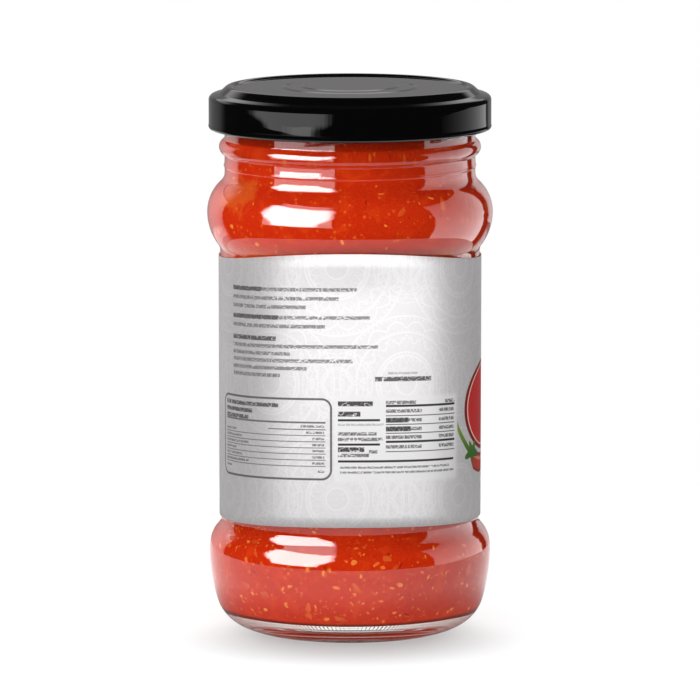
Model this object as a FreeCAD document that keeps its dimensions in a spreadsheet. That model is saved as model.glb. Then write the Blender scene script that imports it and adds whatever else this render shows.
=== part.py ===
"""Jar of minced chilli: a round-shouldered glass jar, its paste, a twist-off steel lid and a wrap label.

Everything is turned about the Z axis. The origin is the middle of the jar's foot, +Z is up and the
front of the label faces -Y. Millimetres.
"""
import FreeCAD, Part
import math
import os

import Sketcher

Vector = FreeCAD.Vector

# Driving sizes, each written once.
SIZES = {
    # glass body
    "jar_height": 128.1,
    "waist_radius": 30.6,
    "wall": 2.4,
    "floor_thickness": 4.5,
    "cavity_corner": 8.0,
    # foot: a flat bearing ring round a shallow dome
    "foot_width": 1.8,
    "foot_round": 1.0,
    "dome_rise": 2.0,
    "heel_round": 9.0,
    # lower bulge
    "bulge_swell": 2.86,
    "bulge_level": 18.8,
    "bulge_over": 10.0,
    "bulge_under": 42.0,
    "waist_round_low": 3.5,
    # shoulder bulge, placed down from the lid's lower edge
    "shoulder_swell": 3.03,
    "shoulder_below": 19.65,
    "shoulder_over": 10.8,
    "shoulder_under": 12.5,
    "waist_round_high": 2.5,
    # neck and finish
    "neck_step": 1.1,
    "neck_round": 1.5,
    "finish_wall": 2.6,
    "lip_land": 0.2,
    "bore_round": 4.0,
    "collar_reach": 1.3,
    "collar_round": 2.0,
    "collar_below": 4.25,
    "seam_reach": 0.12,
    "seam_round": 1.56,
    "seam_below": 8.65,
    # thread ramps
    "thread_count": 6,
    "thread_reach": 1.25,
    "thread_height": 2.0,
    "thread_root": 0.6,
    "thread_span": 52.0,
    "thread_rise": 3.4,
    "thread_below": 0.45,
    "thread_turn": -50.0,
    # lid
    "lid_height": 10.1,
    "lid_steel": 0.3,
    "lid_seat_gap": 0.15,
    "lid_run_gap": 2.15,
    "lid_corner": 1.2,
    "lid_corner_drop": 3.25,
    "lid_crease": 0.6,
    "lid_crease_inset": 2.2,
    "lid_crease_drop": 1.1,
    "lid_panel_drop": 0.75,
    "lid_panel_round": 0.5,
    "button_step": 0.22,
    "button_round": 1.5,
    "button_outer": 16.2,
    "button_inner": 11.8,
    "button_slope": 1.3,
    "curl_round": 0.75,
    "curl_reach": 0.08,
    # lugs of the lid, hooked under the thread ramps
    "lug_width": 5.5,
    "lug_thickness": 0.7,
    "lug_reach": 0.7,
    "lug_gap": 0.15,
    "lug_turn": 40.0,
    # paste and label
    "paste_gap": 0.05,
    "headspace": 8.1,
    "label_gap": 0.2,
    "label_thickness": 0.2,
    "label_over": 0.85,
    "label_tuck": 0.4,
    "label_arch": 2.0,
    "label_opening": 8.0,
}

# Sizes worked out from the driving ones, in the sheet's own formulas.
DERIVED = {
    # finish, and the lid that closes over it
    "neck_radius": "waist_radius - neck_step",
    "bore_radius": "neck_radius - finish_wall",
    "lip_middle": "neck_radius - finish_wall / 2",
    "lip_round": "(finish_wall - lip_land) / 2",
    "lip_outer": "neck_radius - lip_round",
    "lip_inner": "bore_radius + lip_round",
    "lip_level": "jar_height - lip_round",
    "lid_bead_round": "finish_wall / 2 + lid_seat_gap + lid_steel",
    "lid_bead_level": "jar_height - finish_wall / 2",
    "lid_top": "lid_bead_level + lid_bead_round",
    "lid_end": "lid_top - lid_height",
    "collar_level": "lid_end - collar_below",
    "collar_centre": "neck_radius + collar_reach - collar_round",
    "seam_level": "lid_end - seam_below",
    "seam_centre": "neck_radius + seam_reach - seam_round",
    # shoulder, waist and lower bulge of the glass
    "shoulder_radius": "waist_radius + shoulder_swell",
    "shoulder_level": "lid_end - shoulder_below",
    "shoulder_over_centre": "shoulder_radius - shoulder_over",
    "shoulder_under_centre": "shoulder_radius - shoulder_under",
    "neck_foot_centre": "neck_radius + neck_round",
    "neck_foot_reach": "shoulder_over + neck_round",
    "neck_low": "shoulder_level + sqrt(neck_foot_reach ^ 2 - (neck_foot_centre - shoulder_over_centre) ^ 2)",
    "high_centre": "waist_radius + waist_round_high",
    "high_reach": "shoulder_under + waist_round_high",
    "waist_high": "shoulder_level - sqrt(high_reach ^ 2 - (high_centre - shoulder_under_centre) ^ 2)",
    "bulge_radius": "waist_radius + bulge_swell",
    "bulge_over_centre": "bulge_radius - bulge_over",
    "bulge_under_centre": "bulge_radius - bulge_under",
    "low_centre": "waist_radius + waist_round_low",
    "low_reach": "bulge_over + waist_round_low",
    "waist_low": "bulge_level + sqrt(low_reach ^ 2 - (low_centre - bulge_over_centre) ^ 2)",
    "heel_reach": "bulge_under - heel_round",
    "heel_centre": "bulge_under_centre + sqrt(heel_reach ^ 2 - (bulge_level - heel_round) ^ 2)",
    "foot_inner": "heel_centre - foot_width",
    "dome_round": "(foot_inner ^ 2 + dome_rise ^ 2) / (2 * dome_rise) - foot_round",
    "dome_centre": "dome_rise - dome_round",
    # cavity, one wall inside the glass
    "in_waist": "waist_radius - wall",
    "in_bulge_under": "bulge_under - wall",
    "in_bulge_over": "bulge_over - wall",
    "in_round_low": "waist_round_low + wall",
    "in_round_high": "waist_round_high + wall",
    "in_shoulder_under": "shoulder_under - wall",
    "in_shoulder_over": "shoulder_over - wall",
    "corner_level": "floor_thickness + cavity_corner",
    "corner_reach": "in_bulge_under - cavity_corner",
    "corner_centre": "bulge_under_centre + sqrt(corner_reach ^ 2 - (bulge_level - corner_level) ^ 2)",
    "bore_foot_centre": "bore_radius + bore_round",
    "bore_reach": "in_shoulder_over + bore_round",
    "bore_low": "shoulder_level + sqrt(bore_reach ^ 2 - (bore_foot_centre - shoulder_over_centre) ^ 2)",
    "cut_top": "jar_height + finish_wall",
    # paste
    "paste_floor": "floor_thickness + paste_gap",
    "paste_waist": "in_waist - paste_gap",
    "paste_bore": "bore_radius - paste_gap",
    "paste_top": "jar_height - headspace",
    # thread ramps: the middle of the low end, and the section's corners there
    "thread_low": "lid_end - thread_below",
    "thread_tip": "neck_radius + thread_reach",
    "thread_base": "neck_radius - thread_root",
    "thread_pitch": "thread_rise * 360 / thread_span",
    # lid
    "skirt_radius": "thread_tip + lid_run_gap + lid_steel",
    "skirt_inner": "skirt_radius - lid_steel",
    "skirt_end": "lid_end + curl_round",
    "curl_centre": "skirt_radius + curl_reach - curl_round",
    "lid_corner_centre": "skirt_radius - lid_corner",
    "lid_corner_level": "lid_top - lid_corner_drop",
    "lid_crease_centre": "skirt_radius - lid_crease_inset",
    "lid_crease_level": "lid_top - lid_crease_drop",
    "panel_level": "lid_top - lid_panel_drop",
    "panel_edge_level": "panel_level + lid_panel_round",
    "panel_reach": "lid_bead_round + lid_panel_round",
    "panel_edge_centre": "lip_middle - sqrt(panel_reach ^ 2 - (panel_edge_level - lid_bead_level) ^ 2)",
    "ledge_level": "panel_level + button_step",
    "button_level": "ledge_level + button_step",
    "outer_foot_level": "panel_level + button_round",
    "outer_head_level": "ledge_level - button_round",
    "outer_head_centre": "button_outer - button_slope",
    "inner_foot_level": "ledge_level + button_round",
    "inner_head_level": "button_level - button_round",
    "inner_head_centre": "button_inner - button_slope",
    "panel_under": "panel_level - lid_steel",
    "ledge_under": "ledge_level - lid_steel",
    "button_under": "button_level - lid_steel",
    # lugs, their tops just under the ramps
    "lug_half_turn": "lug_width * 90 / (pi * thread_tip)",
    "ramp_over_lug": "thread_low + thread_rise * (lug_turn - lug_half_turn) / thread_span",
    "lug_low": "ramp_over_lug - thread_height / 2 - lug_gap - lug_thickness",
    "lug_inner": "thread_tip - lug_reach",
    "lug_outer": "skirt_radius - lid_steel / 2",
    # label
    "label_low": "waist_low - label_tuck",
    "label_high": "waist_high + label_over - label_arch",
    "label_peak": "label_high + label_arch",
    "label_inner": "waist_radius + label_gap",
    "label_outer": "label_inner + label_thickness",
    "label_sweep": "360 - label_opening",
    "label_bow": "(label_outer ^ 2 + label_arch ^ 2) / (2 * label_arch)",
    "trim_side": "label_outer + label_arch",
    "trim_over": "label_peak + label_arch",
    "trim_under": "label_low - label_arch",
}


def make_sheet(doc):
    """The sheet of sizes: plain numbers first, then the sizes worked out from them."""
    sheet = doc.addObject("Spreadsheet::Sheet", "Sizes")
    rows = list(SIZES.items()) + [(name, "=" + formula) for name, formula in DERIVED.items()]
    for row, (name, content) in enumerate(rows, start=1):
        sheet.set(f"A{row}", name)
        sheet.set(f"B{row}", str(content))
        sheet.setAlias(f"B{row}", name)
    doc.recompute()
    return sheet


class Round:
    """One arc of an outline that is walked with the outside on the right.

    bend is the alias of its radius and side is 1 where the outline swells and -1 where it is hollow.
    Side 0 is a bare point, for an outline's two ends. Where touches is true the arc meets the one
    before it directly, otherwise a straight edge called lead joins them. Where loose is true the
    radius is left to the edges on both sides.
    """

    def __init__(self, name, x, z, bend, side, touches=False, lead=None, loose=False):
        self.name = name
        self.x = x
        self.z = z
        self.bend = bend
        self.side = side
        self.touches = touches
        self.lead = lead or name + "_lead"
        self.loose = loose


def shared_normal(first, second):
    """Outward direction at the joint of two (x, z, signed radius) arcs, or along the line between."""
    across = second[0] - first[0]
    up = second[1] - first[1]
    apart = math.hypot(across, up)
    along = max(-1.0, min(1.0, (first[2] - second[2]) / apart))
    beside = math.sqrt(1.0 - along * along)
    return ((across * along + up * beside) / apart, (up * along - across * beside) / apart)


class Outline:
    """A closed outline in a sketch on the XZ plane, whose corners and arcs follow the sheet."""

    def __init__(self, body, name, sheet):
        self.sheet = sheet
        self.sketch = body.newObject("Sketcher::SketchObject", name)
        self.sketch.AttachmentSupport = (origin_plane(body, "XZ_Plane"), [""])
        self.sketch.MapMode = "FlatFace"
        self.ends = {}

    def size(self, alias):
        return float(self.sheet.get(alias)) if alias else 0.0

    def bind(self, name, formula, kind, *where):
        """Add one dimension and tie it to the sheet."""
        index = self.sketch.addConstraint(Sketcher.Constraint(kind, *where))
        self.sketch.renameConstraint(index, name)
        self.sketch.setExpression("Constraints." + name, formula)

    def add_line(self, name, start, end):
        edge = Part.LineSegment(Vector(start[0], start[1], 0), Vector(end[0], end[1], 0))
        self.ends[name] = (self.sketch.addGeometry(edge, False), 1, 2)

    def add_arc(self, name, x, z, bend, enter, leave):
        """An arc from the outward direction enter to leave; a negative bend is a hollow."""
        swell = bend > 0
        turn = 0.0 if swell else math.pi
        first = math.atan2(enter[1], enter[0]) + turn
        last = math.atan2(leave[1], leave[0]) + turn
        if not swell:
            first, last = last, first
        circle = Part.Circle(Vector(x, z, 0), Vector(0, 0, 1), abs(bend))
        index = self.sketch.addGeometry(Part.ArcOfCircle(circle, first, last), False)
        self.ends[name] = (index, 1, 2) if swell else (index, 2, 1)

    def join(self, before, after, kind="Tangent"):
        """Tie the end of one edge to the start of the next."""
        first = self.ends[before]
        second = self.ends[after]
        self.sketch.addConstraint(Sketcher.Constraint(kind, first[0], first[2], second[0], second[1]))

    def walk(self, rounds, inset=""):
        """Draw the arcs and straight edges of a list of rounds, moved inwards by the inset."""
        depth = self.size(inset)
        shift = f" - Sizes.{inset}" if inset else ""
        grow = f" + Sizes.{inset}" if inset else ""
        places = []
        for item in rounds:
            bend = item.side * self.size(item.bend) - (depth if item.side else 0.0)
            places.append((self.size(item.x), self.size(item.z), bend))
        normals = [shared_normal(a, b) for a, b in zip(places, places[1:])]
        path = []
        for index in range(1, len(rounds)):
            item = rounds[index]
            normal = normals[index - 1]
            if not item.touches:
                spots = []
                for x, z, bend in places[index - 1:index + 1]:
                    spots.append((x + bend * normal[0], z + bend * normal[1]))
                self.add_line(item.lead, spots[0], spots[1])
                path.append(item.lead)
            if item.side:
                x, z, bend = places[index]
                self.add_arc(item.name, x, z, bend, normal, normals[index])
                path.append(item.name)
                if not item.loose:
                    formula = f"Sizes.{item.bend}" + (shift if item.side > 0 else grow)
                    self.bind(item.name + "_bend", formula, "Radius", self.ends[item.name][0], abs(bend))
        for before, after in zip(path, path[1:]):
            self.join(before, after)
        return path

    def close(self, path, corners, kind="Coincident"):
        """Close a walked path through the given corners; kind is how its end meets the first edge."""
        start = self.end_point(path[0], 1)
        spots = [self.end_point(path[-1], 2)] + corners + [start]
        names = []
        for index, (a, b) in enumerate(zip(spots, spots[1:]), start=1):
            names.append(f"close_{index}")
            self.add_line(names[-1], a, b)
        self.join(path[-1], names[0], kind)
        for before, after in zip(names, names[1:]):
            self.join(before, after, "Coincident")
        self.join(names[-1], path[0], "Coincident")
        return names

    def polygon(self, names, spots):
        """A closed outline of straight edges, the first of them between the first two corners."""
        for name, start, end in zip(names, spots, spots[1:] + spots[:1]):
            self.add_line(name, start, end)
        for before, after in zip(names, names[1:] + names[:1]):
            self.join(before, after, "Coincident")

    def end_point(self, name, which):
        index = self.ends[name][0]
        point = self.sketch.getPoint(index, self.ends[name][which])
        return (point.x, point.y)

    def centre_at(self, name, across="", level=""):
        """Tie an arc's centre to the sheet, sideways, in height or both."""
        index = self.ends[name][0]
        centre = self.sketch.getPoint(index, 3)
        if across:
            self.bind(name + "_across", f"Sizes.{across}", "DistanceX", -1, 1, index, 3, centre.x)
        if level:
            self.bind(name + "_level", f"Sizes.{level}", "DistanceY", -1, 1, index, 3, centre.y)

    def point_at(self, name, which, across="", level=""):
        """Tie one end of an edge to the sheet: which is 1 for its start and 2 for its end."""
        index = self.ends[name][0]
        spot = self.ends[name][which]
        point = self.sketch.getPoint(index, spot)
        if across:
            self.bind(f"{name}_across_{which}", across, "DistanceX", -1, 1, index, spot, point.x)
        if level:
            self.bind(f"{name}_level_{which}", level, "DistanceY", -1, 1, index, spot, point.y)

    def on_axis(self, name, which):
        index = self.ends[name][0]
        spot = 3 if which == "centre" else self.ends[name][which]
        self.sketch.addConstraint(Sketcher.Constraint("PointOnObject", index, spot, -2))

    def level(self, *names):
        for name in names:
            self.sketch.addConstraint(Sketcher.Constraint("Horizontal", self.ends[name][0]))

    def upright(self, *names):
        for name in names:
            self.sketch.addConstraint(Sketcher.Constraint("Vertical", self.ends[name][0]))


def origin_plane(body, role):
    return next(item for item in body.Origin.OriginFeatures if item.Role == role)


def turn(body, kind, name, sketch, degrees=360):
    """A revolution or a groove of a sketch about the sketch's upright axis."""
    feature = body.newObject("PartDesign::" + kind, name)
    feature.Profile = sketch
    feature.ReferenceAxis = (sketch, ["V_Axis"])
    feature.Angle = degrees
    return feature


def add_ring(doc, body, name, sheet, across, level, bend):
    """A round bead turned about the axis, from a circle of the given centre and radius."""
    outline = Outline(body, name + "Outline", sheet)
    centre = Vector(outline.size(across), outline.size(level), 0)
    circle = Part.Circle(centre, Vector(0, 0, 1), outline.size(bend))
    outline.ends["ring"] = (outline.sketch.addGeometry(circle, False), 3, 3)
    outline.bind("ring_bend", f"Sizes.{bend}", "Radius", 0, outline.size(bend))
    outline.centre_at("ring", across, level)
    doc.recompute()
    return turn(body, "Revolution", name, outline.sketch)


# The glass

def glass_rounds():
    """The outside of the glass, from the middle of the foot to the top of the lip."""
    return [
        Round("dome_start", "", "dome_rise", "", 0),
        Round("dome", "", "dome_centre", "dome_round", -1, touches=True, loose=True),
        Round("foot_edge", "foot_inner", "foot_round", "foot_round", 1, touches=True),
        Round("heel", "heel_centre", "heel_round", "heel_round", 1, lead="foot"),
        Round("bulge_low", "bulge_under_centre", "bulge_level", "bulge_under", 1, touches=True),
        Round("bulge_high", "bulge_over_centre", "bulge_level", "bulge_over", 1, touches=True),
        Round("waist_foot", "low_centre", "waist_low", "waist_round_low", -1, touches=True),
        Round("waist_head", "high_centre", "waist_high", "waist_round_high", -1, lead="waist"),
        Round("shoulder_low", "shoulder_under_centre", "shoulder_level", "shoulder_under", 1, True),
        Round("shoulder_high", "shoulder_over_centre", "shoulder_level", "shoulder_over", 1, True),
        Round("neck_foot", "neck_foot_centre", "neck_low", "neck_round", -1, touches=True),
        Round("lip", "lip_outer", "lip_level", "lip_round", 1, lead="neck"),
        Round("lip_end", "lip_outer", "jar_height", "", 0, touches=True),
    ]


def cavity_rounds(floor_level, ending):
    """The inside of the glass, from the middle of its floor to the bore, then the given ending."""
    return [
        Round("floor_start", "", floor_level, "", 0),
        Round("corner", "corner_centre", "corner_level", "cavity_corner", 1, lead="floor"),
        Round("bulge_low", "bulge_under_centre", "bulge_level", "in_bulge_under", 1, touches=True),
        Round("bulge_high", "bulge_over_centre", "bulge_level", "in_bulge_over", 1, touches=True),
        Round("waist_foot", "low_centre", "waist_low", "in_round_low", -1, touches=True),
        Round("waist_head", "high_centre", "waist_high", "in_round_high", -1, lead="waist"),
        Round("shoulder_low", "shoulder_under_centre", "shoulder_level", "in_shoulder_under", 1, True),
        Round("shoulder_high", "shoulder_over_centre", "shoulder_level", "in_shoulder_over", 1, True),
        Round("neck_foot", "bore_foot_centre", "bore_low", "bore_round", -1, touches=True),
    ] + ending


def pin_body(outline, waist):
    """Tie the bulges and the waist, which the glass, its cavity and the paste have in common."""
    outline.centre_at("bulge_low", level="bulge_level")
    outline.centre_at("bulge_high", "bulge_over_centre", "bulge_level")
    outline.centre_at("shoulder_low", level="shoulder_level")
    outline.centre_at("shoulder_high", "shoulder_over_centre", "shoulder_level")
    outline.upright("waist")
    outline.point_at("waist", 1, across=f"Sizes.{waist}")


def pin_floor(outline, floor_level):
    outline.level("floor")
    outline.on_axis("floor", 1)
    outline.point_at("floor", 1, level=f"Sizes.{floor_level}")


def draw_glass(body, sheet):
    outline = Outline(body, "GlassOutline", sheet)
    path = outline.walk(glass_rounds())
    top, axis = outline.close(path, [(0.0, outline.size("jar_height"))], "Tangent")
    outline.on_axis("dome", "centre")
    outline.on_axis("dome", 1)
    outline.point_at("dome", 1, level="Sizes.dome_rise")
    outline.level("foot")
    foot = outline.ends["foot"][0]
    outline.sketch.addConstraint(Sketcher.Constraint("PointOnObject", foot, 1, -1))
    outline.bind("foot_length", "Sizes.foot_width", "Distance", foot, outline.size("foot_width"))
    pin_body(outline, "waist_radius")
    outline.upright("neck")
    outline.point_at("neck", 1, across="Sizes.neck_radius")
    outline.level(top)
    outline.point_at(top, 1, level="Sizes.jar_height")
    outline.on_axis(top, 2)
    return outline.sketch


def draw_cavity(body, sheet):
    outline = Outline(body, "CavityOutline", sheet)
    ending = [
        Round("rim", "lip_inner", "lip_level", "lip_round", -1, lead="bore"),
        Round("rim_end", "lip_inner", "jar_height", "", 0, touches=True),
    ]
    path = outline.walk(cavity_rounds("floor_thickness", ending))
    above = outline.size("cut_top")
    rise, top, axis = outline.close(path, [(outline.size("lip_inner"), above), (0.0, above)])
    pin_floor(outline, "floor_thickness")
    pin_body(outline, "in_waist")
    outline.upright("bore", rise)
    outline.point_at("bore", 1, across="Sizes.bore_radius")
    outline.centre_at("rim", "", "lip_level")
    outline.point_at("rim", 2, across="Sizes.lip_inner")
    outline.level(top)
    outline.point_at(top, 2, level="Sizes.cut_top")
    outline.on_axis(top, 2)
    return outline.sketch


def draw_thread(body, sheet):
    """The section of a thread ramp at its low end."""
    outline = Outline(body, "ThreadOutline", sheet)
    base = outline.size("thread_base")
    tip = outline.size("thread_tip")
    middle = outline.size("thread_low")
    half = outline.size("thread_height") / 2
    low = middle - half
    high = middle + half
    spots = [(base, low), (tip, (middle + low) / 2), (tip, (middle + high) / 2), (base, high)]
    outline.polygon(["under", "crest", "over", "root"], spots)
    outline.upright("crest", "root")
    outline.point_at("under", 1, "Sizes.thread_base", "Sizes.thread_low - Sizes.thread_height / 2")
    outline.point_at("crest", 1, "Sizes.thread_tip", "Sizes.thread_low - Sizes.thread_height / 4")
    outline.point_at("over", 1, level="Sizes.thread_low + Sizes.thread_height / 4")
    outline.point_at("root", 1, level="Sizes.thread_low + Sizes.thread_height / 2")
    return outline.sketch


def make_jar(doc, sheet):
    body = doc.addObject("PartDesign::Body", "Jar")
    body.Label = "glass_jar"
    outside = draw_glass(body, sheet)
    doc.recompute()
    turn(body, "Revolution", "GlassForm", outside)
    add_ring(doc, body, "Collar", sheet, "collar_centre", "collar_level", "collar_round")
    add_ring(doc, body, "MouldSeam", sheet, "seam_centre", "seam_level", "seam_round")
    doc.recompute()
    section = draw_thread(body, sheet)
    doc.recompute()
    ramp = body.newObject("PartDesign::AdditiveHelix", "ThreadRamp")
    ramp.Profile = section
    ramp.ReferenceAxis = (section, ["V_Axis"])
    ramp.Mode = "pitch-height-angle"
    ramp.setExpression("Pitch", "Sizes.thread_pitch")
    ramp.setExpression("Height", "Sizes.thread_rise")
    doc.recompute()
    repeat_round(body, "ThreadRamps", ramp, "Sizes.thread_count")
    doc.recompute()
    solid = body.Shape.Volume
    inside = draw_cavity(body, sheet)
    doc.recompute()
    turn(body, "Groove", "Cavity", inside)
    doc.recompute()
    check_cut(body, solid)
    body.setExpression("Placement.Rotation.Angle", "Sizes.thread_turn")
    return body


def repeat_round(body, name, feature, count):
    """Copies of a feature spaced evenly about the Z axis."""
    pattern = body.newObject("PartDesign::PolarPattern", name)
    pattern.Originals = [feature]
    pattern.Axis = (next(item for item in body.Origin.OriginFeatures if item.Role == "Z_Axis"), [""])
    pattern.Angle = 360
    pattern.setExpression("Occurrences", count)
    body.Tip = pattern
    return pattern


def check_cut(body, before):
    if not 0 < body.Shape.Volume < 0.999 * before:
        raise RuntimeError(f"{body.Label}: the cut took nothing away")


# The paste

def make_paste(doc, sheet):
    """A solid that fills the cavity up to its level in the neck."""
    body = doc.addObject("PartDesign::Body", "Paste")
    body.Label = "chilli_paste"
    outline = Outline(body, "PasteOutline", sheet)
    ending = [Round("fill_end", "paste_bore", "paste_top", "", 0, lead="bore")]
    path = outline.walk(cavity_rounds("paste_floor", ending), "paste_gap")
    top, axis = outline.close(path, [(0.0, outline.size("paste_top"))])
    pin_floor(outline, "paste_floor")
    pin_body(outline, "paste_waist")
    outline.upright("bore")
    outline.point_at("bore", 1, across="Sizes.paste_bore")
    outline.level(top)
    outline.point_at(top, 1, level="Sizes.paste_top")
    outline.on_axis(top, 2)
    doc.recompute()
    turn(body, "Revolution", "PasteForm", outline.sketch)
    return body


# The lid

def lid_rounds(skirt, button):
    """The lid's skirt, sloping shoulder, raised bead over the lip, panel and two-step button."""
    return [
        Round("skirt_start", skirt, "skirt_end", "", 0),
        Round("corner", "lid_corner_centre", "lid_corner_level", "lid_corner", 1, lead="skirt"),
        Round("crease", "lid_crease_centre", "lid_crease_level", "lid_crease", -1, lead="slope"),
        Round("bead", "lip_middle", "lid_bead_level", "lid_bead_round", 1, lead="flank"),
        Round("panel_edge", "panel_edge_centre", "panel_edge_level", "lid_panel_round", -1, touches=True),
        Round("outer_foot", "button_outer", "outer_foot_level", "button_round", -1, lead="panel"),
        Round("outer_head", "outer_head_centre", "outer_head_level", "button_round", 1),
        Round("inner_foot", "button_inner", "inner_foot_level", "button_round", -1, lead="ledge"),
        Round("inner_head", "inner_head_centre", "inner_head_level", "button_round", 1),
        Round("button_end", "", button, "", 0, lead="button"),
    ]


def draw_lid(body, name, sheet, skirt, levels, inset=""):
    """The lid's outer form, or its inner one when the inset is the thickness of the steel."""
    panel, ledge, button = levels
    outline = Outline(body, name, sheet)
    path = outline.walk(lid_rounds(skirt, button), inset)
    axis, base = outline.close(path, [(0.0, outline.size("skirt_end"))])
    outline.upright("skirt")
    outline.point_at("skirt", 1, f"Sizes.{skirt}", "Sizes.skirt_end")
    outline.centre_at("corner", level="lid_corner_level")
    outline.centre_at("crease", "lid_crease_centre", "lid_crease_level")
    outline.centre_at("bead", "lip_middle", "lid_bead_level")
    outline.level("panel", "ledge", "button", base)
    outline.point_at("panel", 1, level=f"Sizes.{panel}")
    outline.point_at("ledge", 1, level=f"Sizes.{ledge}")
    outline.point_at("button", 1, level=f"Sizes.{button}")
    outline.centre_at("outer_foot", "button_outer")
    outline.centre_at("outer_head", "outer_head_centre")
    outline.centre_at("inner_foot", "button_inner")
    outline.centre_at("inner_head", "inner_head_centre")
    outline.on_axis("button", 2)
    outline.on_axis(axis, 2)
    return outline.sketch


def draw_lug(body, sheet):
    """The flat outline of one lug, level with its underside."""
    outline = Outline(body, "LugOutline", sheet)
    sketch = outline.sketch
    sketch.AttachmentSupport = (origin_plane(body, "XY_Plane"), [""])
    sketch.setExpression("AttachmentOffset.Base.z", "Sizes.lug_low")
    inner = outline.size("lug_inner")
    outer = outline.size("lug_outer")
    half = outline.size("lug_width") / 2
    spots = [(inner, -half), (outer, -half), (outer, half), (inner, half)]
    outline.polygon(["left", "back", "right", "front"], spots)
    outline.level("left", "right")
    outline.upright("back", "front")
    outline.point_at("back", 1, across="Sizes.lug_outer")
    outline.point_at("front", 1, across="Sizes.lug_inner")
    outline.point_at("left", 1, level="-Sizes.lug_width / 2")
    outline.point_at("right", 1, level="Sizes.lug_width / 2")
    return sketch


def make_lid(doc, sheet):
    body = doc.addObject("PartDesign::Body", "Lid")
    body.Label = "steel_lid"
    over = ("panel_level", "ledge_level", "button_level")
    outside = draw_lid(body, "LidOutline", sheet, "skirt_radius", over)
    doc.recompute()
    turn(body, "Revolution", "LidForm", outside)
    doc.recompute()
    solid = body.Shape.Volume
    under = ("panel_under", "ledge_under", "button_under")
    inside = draw_lid(body, "LidInside", sheet, "skirt_inner", under, "lid_steel")
    doc.recompute()
    turn(body, "Groove", "LidHollow", inside)
    doc.recompute()
    check_cut(body, solid)
    add_ring(doc, body, "Curl", sheet, "curl_centre", "skirt_end", "curl_round")
    doc.recompute()
    lug = body.newObject("PartDesign::Pad", "Lug")
    lug.Profile = draw_lug(body, sheet)
    lug.setExpression("Length", "Sizes.lug_thickness")
    doc.recompute()
    repeat_round(body, "Lugs", lug, "Sizes.thread_count")
    body.setExpression("Placement.Rotation.Angle", "Sizes.thread_turn + Sizes.lug_turn")
    return body


# The label

def draw_band(body, sheet):
    """The section of the paper band, as high as its edges reach."""
    outline = Outline(body, "BandOutline", sheet)
    inner = outline.size("label_inner")
    outer = outline.size("label_outer")
    low = outline.size("label_low")
    peak = outline.size("label_peak")
    spots = [(inner, low), (outer, low), (outer, peak), (inner, peak)]
    outline.polygon(["lower", "face", "upper", "back"], spots)
    outline.level("lower", "upper")
    outline.upright("face", "back")
    outline.point_at("lower", 1, "Sizes.label_inner", "Sizes.label_low")
    outline.point_at("upper", 1, "Sizes.label_outer", "Sizes.label_peak")
    return outline.sketch


def draw_trim(body, name, sheet, edge, beyond):
    """What is cut off past one edge, which is level round the back and bowed up to its peak in front.

    The front is at +X here. edge is the alias of the edge's level at the back and beyond that of a
    level clear of the paper.
    """
    outline = Outline(body, name, sheet)
    bow = outline.size("label_bow")
    level = outline.size(edge)
    side = outline.size("trim_side")
    clear = outline.size(beyond)
    slope = math.asin(side / bow)
    outline.add_line("flat", (-side, level), (0.0, level))
    outline.add_arc("bow", 0.0, level + bow, bow, (0.0, -1.0), (math.sin(slope), -math.cos(slope)))
    outline.join("flat", "bow")
    outline.close(["flat", "bow"], [(side, clear), (-side, clear)])
    outline.level("flat", "close_2")
    outline.upright("close_1", "close_3")
    outline.bind("flat_reach", "Sizes.trim_side", "DistanceX", outline.ends["flat"][0], 1, -1, 1, side)
    outline.point_at("flat", 1, level=f"Sizes.{edge}")
    outline.point_at("close_2", 1, "Sizes.trim_side", f"Sizes.{beyond}")
    outline.on_axis("bow", "centre")
    outline.bind("bow_bend", "Sizes.label_bow", "Radius", outline.ends["bow"][0], bow)
    return outline.sketch


def make_label(doc, sheet):
    """A band of paper round the waist, bowed up in front and open down the middle of the back."""
    body = doc.addObject("PartDesign::Body", "Label")
    body.Label = "paper_label"
    band = draw_band(body, sheet)
    doc.recompute()
    wrap = turn(body, "Revolution", "Wrap", band)
    wrap.Midplane = True
    wrap.setExpression("Angle", "Sizes.label_sweep")
    doc.recompute()
    trims = (("UpperTrim", "label_high", "trim_over"), ("LowerTrim", "label_low", "trim_under"))
    for name, edge, beyond in trims:
        before = body.Shape.Volume
        trim = body.newObject("PartDesign::Pocket", name)
        trim.Profile = draw_trim(body, name + "Outline", sheet, edge, beyond)
        trim.Type = "ThroughAll"
        trim.SideType = "Symmetric"
        doc.recompute()
        check_cut(body, before)
    body.Placement.Rotation = FreeCAD.Rotation(Vector(0, 0, 1), -90)
    return body


def check_model(doc, bodies):
    """Stop on a failed object, an unsolved sketch or a shape that isn't one valid solid."""
    for item in doc.Objects:
        if "Invalid" in item.State or "Error" in item.State:
            raise RuntimeError(f"{item.Name} failed: {item.State}")
        if item.TypeId == "Sketcher::SketchObject" and item.solve() != 0:
            raise RuntimeError(f"{item.Name} isn't solved")
    for body in bodies:
        if body.Shape.isNull() or not body.Shape.isValid() or len(body.Shape.Solids) != 1:
            raise RuntimeError(f"{body.Label} isn't one valid solid")


def main():
    doc = FreeCAD.newDocument("ChilliJar")
    sheet = make_sheet(doc)
    bodies = [make_jar(doc, sheet), make_paste(doc, sheet), make_lid(doc, sheet), make_label(doc, sheet)]
    doc.recompute()
    check_model(doc, bodies)
    os.makedirs("parts", exist_ok=True)
    for body in bodies:
        body.Shape.exportStep(f"parts/{body.Label}.step")
        box = body.Shape.BoundBox
        print(f"{body.Label}: {body.Shape.Volume / 1000:.2f} ml, z {box.ZMin:.2f} to {box.ZMax:.2f}, "
              f"radius {box.XMax:.2f}")


main()
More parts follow.
